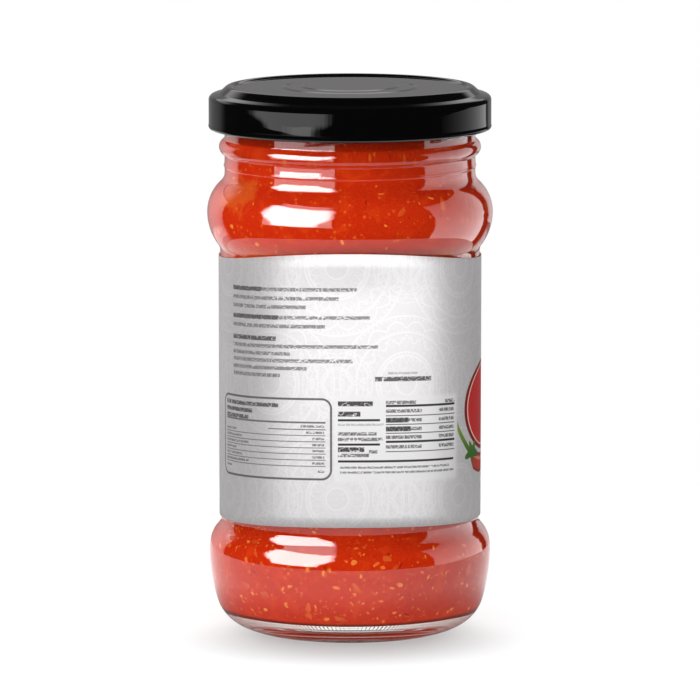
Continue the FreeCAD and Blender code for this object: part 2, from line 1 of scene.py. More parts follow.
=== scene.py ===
# %% [markdown]
# # A jar of minced chilli
#
# The object is a round-shouldered glass jar of chilli paste with a black twist-off lid and a paper
# wrap label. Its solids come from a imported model, which is the frame. This script makes what a
# viewer sees of it: smooth glass, wet paste with seeds in it, lacquered steel and printed paper.

# %% Load the frame
import math
import random

import bmesh
import bpy
from mathutils import Matrix, Vector, noise


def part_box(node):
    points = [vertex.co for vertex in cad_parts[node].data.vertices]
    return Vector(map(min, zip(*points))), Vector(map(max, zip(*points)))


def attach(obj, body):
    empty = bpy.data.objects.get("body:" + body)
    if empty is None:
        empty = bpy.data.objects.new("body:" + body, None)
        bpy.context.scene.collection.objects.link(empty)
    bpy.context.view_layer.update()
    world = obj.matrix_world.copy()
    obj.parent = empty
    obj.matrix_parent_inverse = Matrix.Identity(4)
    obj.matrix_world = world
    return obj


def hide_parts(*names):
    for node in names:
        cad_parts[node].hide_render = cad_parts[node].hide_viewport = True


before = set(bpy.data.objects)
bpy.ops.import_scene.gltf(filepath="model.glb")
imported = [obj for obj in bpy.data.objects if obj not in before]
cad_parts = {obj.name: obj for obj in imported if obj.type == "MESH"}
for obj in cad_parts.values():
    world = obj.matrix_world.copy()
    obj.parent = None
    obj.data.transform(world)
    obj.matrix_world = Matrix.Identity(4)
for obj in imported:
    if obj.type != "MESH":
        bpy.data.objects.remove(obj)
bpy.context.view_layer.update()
print("frame:", sorted(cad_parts))

# %% [markdown]
# ## Sizes
#
# Everything is written in millimetres and turned into metres where a mesh is made. The heights and
# the widest radii are read from the frame. Other sizes that more than one piece needs are named
# here.

# %% Sizes
MM = 0.001
glass_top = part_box("glass_jar")[1] / MM
lid_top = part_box("steel_lid")[1] / MM
paste_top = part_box("chilli_paste")[1] / MM
label_low, label_top = (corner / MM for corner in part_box("paper_label"))

JAR_HEIGHT = glass_top.z
SHOULDER_RADIUS = glass_top.x
PAPER = 0.2
PAPER_GAP = 0.2
LABEL_RADIUS = label_top.x
LABEL_ARCH = 2.0
WAIST = LABEL_RADIUS - PAPER - PAPER_GAP
BULGE_RADIUS = WAIST + 2.86
WALL = 2.4
FLOOR = 4.5
NECK = WAIST - 1.1
FINISH_WALL = 2.6
BORE = NECK - FINISH_WALL
LID_HEIGHT = 10.1
LID_END = lid_top.z - LID_HEIGHT
SHOULDER_LEVEL = LID_END - 19.65
BULGE_LEVEL = 18.8
COLLAR_LEVEL = LID_END - 4.25
SEAM_LEVEL = LID_END - 8.65
print(f"jar {JAR_HEIGHT:.1f} mm high, radii: shoulder {SHOULDER_RADIUS:.2f}, waist {WAIST:.2f}")

# %% [markdown]
# ## Outlines made of touching rounds
#
# A jar's outline is a chain of arcs that meet without a corner, with straight edges between some
# of them. Each arc is written as its centre and its radius, with a minus sign where the outline is
# hollow, and the direction in which two of them meet follows from these. Taking the wall's
# thickness off every radius gives the inside of the glass. A straight edge gets a point close to
# each of its ends, so that smooth shading keeps it straight.

# %% Outline helper
ARC_STEP = math.radians(5)
LONGEST_STEP = 0.8
STRAIGHT, HOLD, SAME = 1.9, 0.15, 0.002


def shared_normal(first, second):
    """Outward direction where two rounds (x, z, signed radius) meet or share a straight edge."""
    across = second[0] - first[0]
    up = second[1] - first[1]
    apart = math.hypot(across, up)
    along = max(-1.0, min(1.0, (first[2] - second[2]) / apart))
    beside = math.sqrt(1.0 - along * along)
    return math.atan2(up * along - across * beside, across * along + up * beside)


def trace(rounds, inset=0.0):
    """The points along a chain of rounds; a round of radius 0 at either end is a bare point."""
    places = [(x, z, bend - inset if bend else 0.0) for x, z, bend in rounds]
    turns = [shared_normal(a, b) for a, b in zip(places, places[1:])]
    points = [places[0][:2]] if not places[0][2] else []
    for (x, z, bend), enter, leave in zip(places[1:-1], turns, turns[1:]):
        sweep = (leave - enter + math.pi) % math.tau - math.pi
        count = max(2, math.ceil(max(abs(sweep) / ARC_STEP, abs(sweep * bend) / LONGEST_STEP)))
        for step in range(count + 1):
            angle = enter + sweep * step / count
            points.append((x + bend * math.cos(angle), z + bend * math.sin(angle)))
    points.append(places[-1][:2])
    tidy = points[:1]
    for point in points[1:]:
        length = math.dist(point, tidy[-1])
        if length > STRAIGHT:
            tidy += [tuple(a + (b - a) * share for a, b in zip(tidy[-1], point))
                     for share in (HOLD / length, 1 - HOLD / length)]
        if length > SAME:
            tidy.append(point)
    return tidy


def touching(neighbour, x, bend, side):
    """A hollow round at x that touches another above it (side 1) or below it (side -1)."""
    centre, level, reach = neighbour
    return x, level + side * math.sqrt((reach + bend) ** 2 - (x - centre) ** 2), -bend


# %% [markdown]
# ## Turning an outline
#
# Jars, lids and their fillings are bodies of revolution. Only an eighth of each is spun, and three
# copies, each turned by the width of what is there already, complete it faster. Merging doubled
# points then closes the seams and the axis. A strip or a bar that goes only part of the way round
# starts as a filled section, which stays at both of its ends.

# %% Spin helper
TURN_STEPS = 224
DOUBLINGS = 3
SAME_PLACE = 1e-6
UPRIGHT = {"cent": (0, 0, 0), "axis": (0, 0, 1), "dvec": (0, 0, 0), "use_merge": False,
           "use_duplicate": False}


def placed(bm, name):
    """An object at the origin with the mesh that was built."""
    mesh = bpy.data.meshes.new(name)
    bm.to_mesh(mesh)
    bm.free()
    made = bpy.data.objects.new(name, mesh)
    bpy.context.scene.collection.objects.link(made)
    return made


def finished_piece(bm, name, smooth=True):
    """A piece that moves with the jar."""
    piece = placed(bm, name)
    faces = piece.data.polygons
    faces.foreach_set("use_smooth", [smooth] * len(faces))
    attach(piece, "root")
    print(f"{name}: {len(faces)} faces")
    return piece


def column(bm, points, angle):
    """New points of a mesh, from (radius, height) in millimetres and one angle."""
    return [bm.verts.new((x * MM * math.cos(angle), x * MM * math.sin(angle), z * MM))
            for x, z in points]


def merge(bm):
    bmesh.ops.remove_doubles(bm, verts=bm.verts, dist=SAME_PLACE)
    bmesh.ops.recalc_face_normals(bm, faces=bm.faces)


def spun(points, steps=TURN_STEPS, sweep=math.tau, start=0.0):
    """A bmesh turned from an outline of (radius, height) points; steps is a multiple of 8."""
    bm = bmesh.new()
    verts = column(bm, points, start)
    edges = [bm.edges.new(pair) for pair in zip(verts, verts[1:])]
    part = sweep / 2 ** DOUBLINGS
    bmesh.ops.spin(bm, geom=verts + edges, angle=part, steps=steps // 2 ** DOUBLINGS, **UPRIGHT)
    for _ in range(DOUBLINGS):
        copied = bmesh.ops.duplicate(bm, geom=bm.verts[:] + bm.edges[:] + bm.faces[:])["geom"]
        moved = [item for item in copied if isinstance(item, bmesh.types.BMVert)]
        bmesh.ops.rotate(bm, verts=moved, cent=(0, 0, 0), matrix=Matrix.Rotation(part, 3, "Z"))
        part *= 2
    merge(bm)
    return bm


def spin_section(bm, section, start, sweep, steps):
    """Turn a filled section of (radius, height) points through a part of the circle."""
    verts = column(bm, section, start)
    face = bm.faces.new(verts)
    bmesh.ops.spin(bm, geom=[face] + list(face.edges) + verts, angle=sweep, steps=steps, **UPRIGHT)


# %% [markdown]
# ## Materials as sums
#
# Shader patterns are sums and products of values. This small class wraps a socket, so that adding,
# multiplying or comparing adds the Math node that does it. Colours go through Mix.

# %% Shader helper
class Value:
    """A socket of one material, with the arithmetic of its Math nodes."""

    def __init__(self, graph, socket):
        self.graph = graph
        self.socket = socket

    def __neg__(self):
        return self * -1.0

    def __abs__(self):
        return self.graph.math("ABSOLUTE", self)


def operator(operation, swap=False):
    """A method that joins two values, the other way round for a plain number on the left."""
    return lambda one, other: one.graph.math(operation, *((other, one) if swap else (one, other)))


for name, operation in {"add": "ADD", "sub": "SUBTRACT", "mul": "MULTIPLY", "truediv": "DIVIDE",
                        "mod": "FLOORED_MODULO", "pow": "POWER"}.items():
    setattr(Value, f"__{name}__", operator(operation))
    setattr(Value, f"__r{name}__", operator(operation, True))
Value.__gt__ = operator("GREATER_THAN")
Value.__lt__ = operator("LESS_THAN")


class Graph:
    """The nodes of one material or of the world."""

    def __init__(self, tree):
        self.tree = tree
        tree.nodes.clear()

    def node(self, kind, settings=None, inputs=None, output=0):
        """Any shader node: its settings first, then the values or links of its sockets."""
        made = self.tree.nodes.new("ShaderNode" + kind)
        for key, value in (settings or {}).items():
            setattr(made, key, value)
        for key, value in (inputs or {}).items():
            self.feed(made.inputs[key], value)
        return Value(self, made.outputs[output]) if len(made.outputs) else None

    def feed(self, socket, value):
        """Link or set one socket."""
        if isinstance(value, Value):
            self.tree.links.new(value.socket, socket)
        elif isinstance(value, tuple) and len(value) == 3 and len(socket.default_value) == 4:
            socket.default_value = (*value, 1.0)
        else:
            socket.default_value = value

    def surface(self, shader, kind="Material"):
        """Join a shader to the output of the material, or of the world."""
        self.node("Output" + kind, inputs={"Surface": shader})

    def math(self, operation, *values):
        return self.node("Math", {"operation": operation}, dict(enumerate(values)))

    def mix(self, factor, first, second):
        """A colour between first and second."""
        inputs = {0: factor, 6: first, 7: second}
        return self.node("Mix", {"data_type": "RGBA"}, inputs, 2)

    def layered(self, colour, layers):
        """A colour with others laid over it in turn, each where its mask is 1."""
        for mask, layer in layers:
            colour = self.mix(mask, colour, layer)
        return colour

    def ramp(self, value, low, high, smooth=True):
        """0 below low and 1 above high."""
        kind = "SMOOTHSTEP" if smooth else "LINEAR"
        return self.node("MapRange", {"interpolation_type": kind},
                         {"Value": value, "From Min": low, "From Max": high})

    def split(self, vector):
        """The three parts of a vector."""
        outputs = self.node("SeparateXYZ", inputs={0: vector}).socket.node.outputs
        return [Value(self, output) for output in outputs]

    def place(self):
        """The object coordinates in millimetres, as a vector and as its three parts."""
        point = self.node("TexCoord", output=3)
        point = self.node("VectorMath", {"operation": "SCALE"}, {0: point, 3: 1 / MM})
        return point, *self.split(point)

    def path(self, name):
        """One fact about the ray that asks, such as whether it comes from the camera."""
        outputs = self.node("LightPath").socket.node.outputs
        return Value(self, outputs[name])

    def most(self, *values):
        """The largest of several values."""
        result = values[0]
        for value in values[1:]:
            result = self.math("MAXIMUM", result, value)
        return result

    def length(self, first, second):
        return self.math("SQRT", first * first + second * second)

    def sine(self, value):
        return self.math("SINE", value)

    def turn(self, x, y):
        """The angle about the upright axis, in radians from the front towards the right."""
        return self.math("ARCTAN2", x, -y)

    def noise(self, point, size, detail=2.0, roughness=0.5, distortion=0.0):
        """Cloudy noise whose features are about size millimetres across."""
        return self.node("TexNoise", inputs={
            "Vector": point, "Scale": 1 / size, "Detail": detail, "Roughness": roughness,
            "Distortion": distortion})

    def cells(self, point, size, output=0):
        """Cells of about a size: the distance to the middle of one, or a colour for each."""
        return self.node("TexVoronoi", inputs={"Vector": point, "Scale": 1 / size},
                         output=output)

    def bump(self, height, depth, strength=1.0):
        """A normal for a height of 0 to 1 that stands for depth millimetres."""
        return self.node("Bump", inputs={"Height": height, "Distance": depth * MM,
                                                   "Strength": strength})


def new_material(name, *pieces):
    """The graph of a new material, which the pieces are given."""
    material = bpy.data.materials.new(name)
    material.use_nodes = True
    for piece in pieces:
        piece.data.materials.append(material)
    return Graph(material.node_tree)


def principled(graph, **sockets):
    """A Principled surface; an underscore in a name stands for a space."""
    inputs = {key.replace("_", " "): value for key, value in sockets.items()}
    graph.surface(graph.node("BsdfPrincipled", inputs=inputs))


# %% [markdown]
# ## The glass
#
# A jar is blown in a mould. Its foot is a narrow ring round a shallow dome, and the side swells
# out above it, runs straight behind the label, swells again at the shoulder and is drawn in to the
# neck. The outside and the inside are one closed outline, so that light bends where it enters and
# again where it leaves.

# %% Glass outline
FOOT_WIDTH = 1.8
FOOT_ROUND = 1.0
DOME_RISE = 2.0
HEEL = 9.0
UNDER_BULGE = 42.0
OVER_BULGE = 7.5
WAIST_LOW_ROUND = 5.0
WAIST_HIGH_ROUND = 2.5
UNDER_SHOULDER = 12.5
OVER_SHOULDER = 9.6
NECK_ROUND = 3.0
LIP = (FINISH_WALL - 0.2) / 2
CORNER = 8.0
BORE_ROUND = 5.4


bulge_under = (BULGE_RADIUS - UNDER_BULGE, BULGE_LEVEL, UNDER_BULGE)
bulge_over = (BULGE_RADIUS - OVER_BULGE, BULGE_LEVEL, OVER_BULGE)
shoulder_under = (SHOULDER_RADIUS - UNDER_SHOULDER, SHOULDER_LEVEL, UNDER_SHOULDER)
shoulder_over = (SHOULDER_RADIUS - OVER_SHOULDER, SHOULDER_LEVEL, OVER_SHOULDER)
body = [
    bulge_under,
    bulge_over,
    touching(bulge_over, WAIST + WAIST_LOW_ROUND, WAIST_LOW_ROUND, 1),
    touching(shoulder_under, WAIST + WAIST_HIGH_ROUND, WAIST_HIGH_ROUND, -1),
    shoulder_under,
    shoulder_over,
]


def outside_rounds():
    """The whole outside, from the middle of the dome to the lip."""
    heel = bulge_under[0] + math.sqrt((UNDER_BULGE - HEEL) ** 2 - (BULGE_LEVEL - HEEL) ** 2)
    foot_inner = heel - FOOT_WIDTH
    dome = (foot_inner ** 2 + DOME_RISE ** 2) / (2 * DOME_RISE) - FOOT_ROUND
    foot = [(0.0, DOME_RISE, 0.0), (0.0, DOME_RISE - dome, -dome),
            (foot_inner, FOOT_ROUND, FOOT_ROUND), (heel, HEEL, HEEL)]
    neck_foot = touching(shoulder_over, NECK + NECK_ROUND, NECK_ROUND, 1)
    lip = [(NECK - LIP, JAR_HEIGHT - LIP, LIP), (NECK - LIP, JAR_HEIGHT, 0.0)]
    return foot + body + [neck_foot] + lip


def inside_rounds(finish):
    """The inside of the glass as rounds of the outside, to be traced one wall inwards."""
    level = FLOOR + CORNER
    reach = UNDER_BULGE - WALL - CORNER
    corner = bulge_under[0] + math.sqrt(reach ** 2 - (BULGE_LEVEL - level) ** 2)
    bore_foot = touching(shoulder_over, BORE + BORE_ROUND, BORE_ROUND - WALL, 1)
    return [(0.0, FLOOR, 0.0), (corner, level, CORNER + WALL)] + body + [bore_foot] + finish


outside = trace(outside_rounds())
print(f"outside: {len(outside)} points, foot ring at {outside[0][1]:.1f} mm")

# %% [markdown]
# ## Collar, mould joint and threads
#
# The collar, where the finish mould sits, and the thin joint between two moulds below it are
# ridges of the neck's outline. The threads aren't: a twist-off jar has short ramps that climb to
# the right, and the lid's lugs hook under them. They are raised from the spun surface itself,
# because ramps laid on it as separate pieces would leave a wall inside the glass, which bends
# light wrongly.

# %% Neck and ramps
COLLAR_REACH, COLLAR_ROUND = 1.3, 2.0
SEAM_REACH, SEAM_ROUND = 0.2, 0.5
SEAM_STEP, SEAM_STEPS = 0.1, 5
NECK_TAPER = 0.055
RING_STEP = 0.22
RAMP_COUNT, RAMP_SPAN, RAMP_RISE = 6, math.radians(52), 3.4
RAMP_START = math.radians(-50)
RAMP_LOW = LID_END - 0.45
RAMP_REACH, RAMP_HALF, RAMP_TOP_HALF = 1.22, 0.92, 0.34
RAMP_END = math.radians(3.0)
RAMP_ZONE = (RAMP_LOW - 2, JAR_HEIGHT - 2)
TOUCH = 0.01


def smooth_step(value):
    value = max(0.0, min(1.0, value))
    return value * value * (3 - 2 * value)


def ridge(z, level, reach, bend):
    """How far a round ridge stands out from the neck at height z."""
    away = abs(z - level)
    return math.sqrt(bend * bend - away * away) - (bend - reach) if away < bend else 0.0


def neck_points():
    """The neck between its foot and the lip, in fine steps, with its ridges and a slight taper."""
    low = max(z for x, z in outside if z < SEAM_LEVEL) + RING_STEP
    high = min(z for x, z in outside if z > COLLAR_LEVEL + COLLAR_ROUND) - RING_STEP
    count = round((high - low) / RING_STEP)
    levels = [low + (high - low) * step / count for step in range(count + 1)]
    fine = [SEAM_LEVEL + SEAM_STEP * step for step in range(-SEAM_STEPS, SEAM_STEPS + 1)]
    clear = SEAM_STEP * (SEAM_STEPS + 1)
    levels = sorted([z for z in levels if abs(z - SEAM_LEVEL) > clear] + fine)
    points = []
    for z in levels:
        share = smooth_step((z - SEAM_LEVEL) / (COLLAR_LEVEL - COLLAR_ROUND - SEAM_LEVEL))
        taper = NECK_TAPER * (1 - 2 * share) if 0 < share < 1 else 0.0
        collar = ridge(z, COLLAR_LEVEL, COLLAR_REACH, COLLAR_ROUND)
        seam = ridge(z, SEAM_LEVEL, SEAM_REACH, SEAM_ROUND)
        points.append((NECK + max(0.0, taper, collar, seam), z))
    return points


def ramp_height(angle, z):
    """How far the nearest thread ramp stands out at this angle and height."""
    along = (angle - RAMP_START) % (math.tau / RAMP_COUNT)
    if along > RAMP_SPAN:
        return 0.0
    away = abs(z - RAMP_LOW - RAMP_RISE * along / RAMP_SPAN)
    ends = smooth_step(along / RAMP_END) * smooth_step((RAMP_SPAN - along) / RAMP_END)
    side = smooth_step((away - RAMP_TOP_HALF) / (RAMP_HALF - RAMP_TOP_HALF))
    return RAMP_REACH * ends * (1 - side)


neck = neck_points()
below = [point for point in outside if point[1] < neck[0][1] - TOUCH]
above = [point for point in outside if point[1] > neck[-1][1] + TOUCH]
finish = [(BORE + LIP, JAR_HEIGHT - LIP, WALL - LIP), (BORE + LIP, JAR_HEIGHT, 0.0)]
inside = trace(inside_rounds(finish), WALL)
glass_bm = spun(below + neck + above + inside[::-1])
for vert in glass_bm.verts:
    radius = math.hypot(vert.co.x, vert.co.y)
    if radius > (BORE + NECK) / 2 * MM and RAMP_ZONE[0] < vert.co.z / MM < RAMP_ZONE[1]:
        lift = ramp_height(math.atan2(vert.co.y, vert.co.x), vert.co.z / MM) * MM
        if lift > 0:
            scale = max(radius, NECK * MM + lift) / radius
            vert.co.x *= scale
            vert.co.y *= scale
glass = finished_piece(glass_bm, "jar_glass")
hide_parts("glass_jar")

# %% [markdown]
# ## Clear glass
#
# Jar glass has an index of 1.52 and is faintly green where it is thick. The bearing ring is
# stippled, so that the hot jar doesn't chill on the conveyor, and the walls are never quite flat.
# Both are bumps: rows of small bars round the ring, and slow waves everywhere else.

# %% Glass material
GLASS_INDEX = 1.52
GLASS_TINT = (0.945, 0.982, 0.952)
STIPPLE_BARS, STIPPLE_HEIGHT = 150, 1.6
STIPPLE_FROM, STIPPLE_TO = 18.0, 20.0

g = new_material("clear_jar_glass", glass)
point, x, y, z = g.place()
angle = g.math("ARCTAN2", x, y)
bars = g.sine(angle * STIPPLE_BARS)
ring = g.ramp(z, 1.5, 0.9) * g.ramp(g.length(x, y), STIPPLE_FROM, STIPPLE_TO)
waves = g.noise(point, 16.0, detail=1.0)
height = bars * ring * STIPPLE_HEIGHT + waves * (1 - ring)
principled(g, Base_Color=GLASS_TINT, Roughness=0.0, IOR=GLASS_INDEX, Transmission_Weight=1.0,
           Normal=g.bump(height, 0.03))
print("glass: index", GLASS_INDEX)

# %% [markdown]
# ## The paste
#
# Minced chilli fills the jar up to its level. Its piece reaches a little into the wall: oil and
# juice wet the glass, and a gap would show as a silver skin. Only over the flat floor does it stay
# a hair above the glass. Seen at the shallow angle of the heel, that face mirrors the table, and
# the thick base looks clear. The top is hidden under the lid and is left slightly heaped.

# %% Paste core
WET_REACH = 0.15
DRY_GAP = 0.06
WET_FROM, STEP_IN = 5.6, 0.2
HEAP = 0.35
TOP_RINGS = 12

top_level = paste_top.z
to_the_top = inside_rounds([(BORE + WET_REACH, top_level, 0.0)])
wet = [(x, z) for x, z in trace(to_the_top, WALL - WET_REACH) if WET_FROM < z < top_level - HEAP]
dry = [(x, max(z, FLOOR + DRY_GAP)) for x, z in trace(to_the_top, WALL + DRY_GAP)
       if z < WET_FROM - STEP_IN]
rim = wet[-1][0]
top = [(rim * (1 - step / TOP_RINGS), top_level - HEAP) for step in range(TOP_RINGS + 1)]
core_bm = spun(dry + wet + top)
for vert in core_bm.verts:
    if vert.co.z > (top_level - HEAP - TOUCH) * MM:
        lift = noise.noise(vert.co / (6 * MM)) + 0.5 * noise.noise(vert.co / (2 * MM))
        vert.co.z += HEAP * MM * max(-1.0, min(1.0, lift))
core = finished_piece(core_bm, "chilli_core")
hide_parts("chilli_paste")

# %% [markdown]
# ## Seeds, flesh and skin
#
# What makes the paste read as minced chilli is what lies against the glass: flat pale seeds,
# crumbs of flesh and thin dark slivers of skin. Each kind is one joined mesh of small closed
# bodies pressed flat against the wall, with a size and a turn of their own. They are densest low
# in the jar.

# %% Scatter helper
SINK = 0.32
DENTS = 0.32
THINNEST = 0.25
FLOOR_LENGTH = 1.0
wall_length = sum(math.dist(a, b) for a, b in zip(wet, wet[1:]))


def ring_at(distance):
    """Radius, height and slope of the core's wall at a distance along its outline."""
    for (x0, z0), (x1, z1) in zip(wet, wet[1:]):
        length = math.dist((x0, z0), (x1, z1))
        if distance <= length:
            share = distance / length
            return x0 + (x1 - x0) * share, z0 + (z1 - z0) * share, math.atan2(z1 - z0, x1 - x0)
        distance -= length
    return (*wet[-1], math.pi / 2)


def wall_spot(chance):
    """A random place on the core's wall, as a matrix whose Z points out into the glass."""
    radius, height, slope = ring_at(chance.uniform(FLOOR_LENGTH, wall_length))
    angle = chance.uniform(0, math.tau)
    place = Matrix.Rotation(angle, 4, "Z") @ Matrix.Translation((radius * MM, 0, height * MM))
    tilt = Matrix.Rotation(math.pi - slope, 4, "Y")
    return place @ tilt @ Matrix.Rotation(chance.uniform(0, math.tau), 4, "Z")


def settled(height, chance):
    """Most bits lie low in the jar, and few are needed where the label hides the glass."""
    if height < label_low.z + 3:
        share = 1.0
    elif height < label_top.z - 4:
        share = 0.25
    else:
        share = 0.35
    return chance.random() < share


def scatter(name, count, sizes, flatness, slimness, seed, around, rings):
    """A joined mesh of small lumps of the given range of sizes (millimetres) on the wall."""
    chance = random.Random(seed)
    pattern = bmesh.new()
    bmesh.ops.create_uvsphere(pattern, u_segments=around, v_segments=rings, radius=1.0)
    part = bpy.data.meshes.new(name + "_part")
    bm = bmesh.new()
    made = 0
    while made < count:
        spot = wall_spot(chance)
        if not settled(spot.translation.z / MM, chance):
            continue
        length = sizes[0] + (sizes[1] - sizes[0]) * chance.random() ** 1.7
        width = length * chance.uniform(*slimness)
        depth = max(THINNEST, min(length, width) * flatness)
        shape = Matrix.Diagonal((length / 2 * MM, width / 2 * MM, depth / 2 * MM, 1.0))
        sink = Matrix.Translation((0, 0, -SINK * depth * MM))
        shift = Vector((chance.uniform(-9, 9), chance.uniform(-9, 9), chance.uniform(-9, 9)))
        lump = pattern.copy()
        for vert in lump.verts:
            vert.co *= 1.0 + DENTS * noise.noise(vert.co * 1.1 + shift)
        bmesh.ops.transform(lump, matrix=spot @ sink @ shape, verts=lump.verts)
        lump.to_mesh(part)
        lump.free()
        bm.from_mesh(part)
        made += 1
    pattern.free()
    bpy.data.meshes.remove(part)
    bmesh.ops.recalc_face_normals(bm, faces=bm.faces)
    piece = finished_piece(bm, name)
    return piece


seeds = scatter("chilli_seeds", 620, (0.6, 1.9), 0.35, (0.35, 0.8), 11, 9, 6)
crumbs = scatter("flesh_crumbs", 1700, (0.35, 1.1), 0.5, (0.4, 0.9), 12, 7, 5)
soft_bits = scatter("soft_flesh", 60, (1.8, 3.6), 0.22, (0.4, 0.85), 13, 12, 8)
slivers = scatter("skin_slivers", 150, (0.6, 2.2), 0.3, (0.18, 0.45), 14, 7, 5)
bits = [seeds, crumbs, soft_bits, slivers]

# %% [markdown]
# ## The colour of minced chilli
#
# The paste is a saturated orange-red, orange where pulp gathers and deep red where skin does.
# Patterns of several sizes are laid over each other: slow clouds, grains of about a millimetre and
# fine specks. A pale pool lies high at the left. Lighter pulp shows just above the label, partly
# as painted light that makes up for the shade of the label's flared edge, and the lower edge is
# darkened with painted shade. Seen through oil and glass it has no gloss of its own.

# %% Paste material
PASTE_RED = (0.61, 0.031, 0.0042)
PASTE_DEEP = (0.56, 0.023, 0.0030)
PASTE_ORANGE = (0.68, 0.055, 0.0065)
PASTE_PULP = (0.74, 0.15, 0.018)
PASTE_SKIN = (0.34, 0.008, 0.002)
# PASTE_SHADE is painted shade, laid on the paste's lower edge and underside.
PASTE_SHADE = (0.11, 0.014, 0.005)
PASTE_POOL = (0.68, 0.15, 0.02)
POOL_TURN, POOL_LEVEL = -1.06, 104.5
GRAIN = 1.1

g = new_material("minced_chilli", core)
point, x, y, z = g.place()
clouds = g.noise(point, 9.0, detail=3.0, roughness=0.6)
patches = g.noise(point, 3.2, detail=2.0, distortion=0.6)
grains = g.cells(point, GRAIN)
grain_pick = g.node("SeparateColor", inputs={0: g.cells(point, GRAIN, output=1)})
specks = g.noise(point, 0.45, detail=1.0)
pale = g.ramp(grain_pick, 0.86, 0.93) * g.ramp(grains, 0.42, 0.22)
dark = g.ramp(grain_pick, 0.10, 0.04) * g.ramp(grains, 0.40, 0.20)
drift = g.noise(point, 4.0, detail=3.0, roughness=0.65)
beside = abs(g.turn(x, y) - POOL_TURN) + (drift - 0.5) * 0.5
pool = g.ramp(beside, 0.26, 0.10) * g.ramp(abs(z - POOL_LEVEL) + (drift - 0.5) * 10, 5.5, 2.0)
# Pulp band above the label: partly real pulp, partly painted light offsetting the label's shade.
pulp_and_painted_light = g.ramp(z, label_top.z + 4, label_top.z + 0.5) * g.ramp(z, label_low.z + 4, label_low.z + 8)
pulp_and_painted_light = pulp_and_painted_light * g.ramp(drift, 0.30, 0.62)
colour = g.mix(0.25 + 0.5 * g.ramp(clouds, 0.35, 0.66), PASTE_DEEP, PASTE_RED)
colour = g.layered(colour, (
    (g.ramp(patches, 0.50, 0.72) * 0.55, PASTE_ORANGE), (pale * 0.6, PASTE_PULP),
    (dark * 0.35, PASTE_SKIN), (g.ramp(specks, 0.54, 0.72) * 0.14, PASTE_PULP),
    (g.ramp(specks, 0.46, 0.30) * 0.12, PASTE_SKIN), (pool * 0.5, PASTE_POOL),
    (pulp_and_painted_light * 0.55, PASTE_PULP),
    # Painted shade: the paste darkens towards its lower edge and underside.
    (g.ramp(z, WET_FROM + 0.55, WET_FROM + 0.1) * 0.85, PASTE_SHADE)))
relief = patches * 0.6 + specks * 0.4
principled(g, Base_Color=colour, Roughness=0.6, Specular_IOR_Level=0.0,
           Normal=g.bump(relief, 0.12, 0.4))
print("paste material:", len(g.tree.nodes), "nodes")

# %% [markdown]
# Each kind of bit has its own colour, broken up by noise so that no two look cut from one sheet.

# %% Bits materials
BIT_TONES = [("seed_yellow", (0.80, 0.25, 0.038), (0.76, 0.15, 0.02), 2.6),
             ("flesh_orange", (0.70, 0.14, 0.02), (0.60, 0.05, 0.007), 2.2),
             ("soft_orange", (0.66, 0.10, 0.014), (0.58, 0.05, 0.007), 3.0),
             ("skin_red", (0.34, 0.012, 0.003), (0.66, 0.08, 0.01), 2.5)]
for piece, (name, light, dark, size) in zip(bits, BIT_TONES):
    g = new_material(name, piece)
    point = g.place()[0]
    tone = g.ramp(g.noise(point, size), 0.44, 0.68)
    fine = g.noise(point, 0.3, detail=1.0)
    principled(g, Base_Color=g.mix(tone, light, dark), Roughness=0.5, Specular_IOR_Level=0.02,
               Normal=g.bump(fine, 0.08, 0.5))
    print(f"{name}: patches of {size} mm")

# %% [markdown]
# ## The lid
#
# A twist-off lid is drawn from thin tinplate. A raised bead carries the sealing ring over the lip,
# inside it the panel has a two-step safety button, outside it a slope runs down to a straight
# skirt, and the skirt's raw edge is curled inwards. It is spun as one closed skin.

# %% Lid outline
STEEL = 0.3
BEAD = FINISH_WALL / 2 + 0.15 + STEEL
CURL, CURL_OUT = 0.75, 0.08
CURL_FROM, CURL_TO, CURL_SIDES = math.radians(155), math.radians(385), 20
LID_RADIUS = lid_top.x - CURL_OUT
SKIRT_ROUND, SKIRT_DROP = 1.2, 3.25
SLOPE_ROUND, SLOPE_DROP, SLOPE_IN = 0.6, 1.1, 2.2
BUTTON_ROUND = 1.5
BUTTON_STEP = 0.17
BUTTON_SLOPE = 1.3
BUTTON_OUTER, BUTTON_INNER = 16.2, 11.8
PANEL_LEVEL = lid_top.z - 0.48
PANEL_EDGE = 0.5


def lid_rounds(inset=0.0):
    """The lid from its skirt to the middle of the button, as rounds of the outside."""
    lip_middle = NECK - FINISH_WALL / 2
    bead_level = lid_top.z - BEAD
    edge_level = PANEL_LEVEL + PANEL_EDGE
    edge_centre = lip_middle - math.sqrt((BEAD + PANEL_EDGE) ** 2 - (edge_level - bead_level) ** 2)
    ledge = PANEL_LEVEL + BUTTON_STEP
    button = ledge + BUTTON_STEP
    return [
        (LID_RADIUS - inset, LID_END + CURL, 0.0),
        (LID_RADIUS - SKIRT_ROUND, lid_top.z - SKIRT_DROP, SKIRT_ROUND),
        (LID_RADIUS - SLOPE_IN, lid_top.z - SLOPE_DROP, -SLOPE_ROUND),
        (lip_middle, bead_level, BEAD),
        (edge_centre, edge_level, -PANEL_EDGE),
        (BUTTON_OUTER, PANEL_LEVEL + BUTTON_ROUND, -BUTTON_ROUND),
        (BUTTON_OUTER - BUTTON_SLOPE, ledge - BUTTON_ROUND, BUTTON_ROUND),
        (BUTTON_INNER, ledge + BUTTON_ROUND, -BUTTON_ROUND),
        (BUTTON_INNER - BUTTON_SLOPE, button - BUTTON_ROUND, BUTTON_ROUND),
        (0.0, button - inset, 0.0),
    ]


def arc(x, z, bend, first, last, sides):
    """Points of an arc between two angles."""
    turns = [first + (last - first) * side / sides for side in range(sides + 1)]
    return [(x + bend * math.cos(turn), z + bend * math.sin(turn)) for turn in turns]


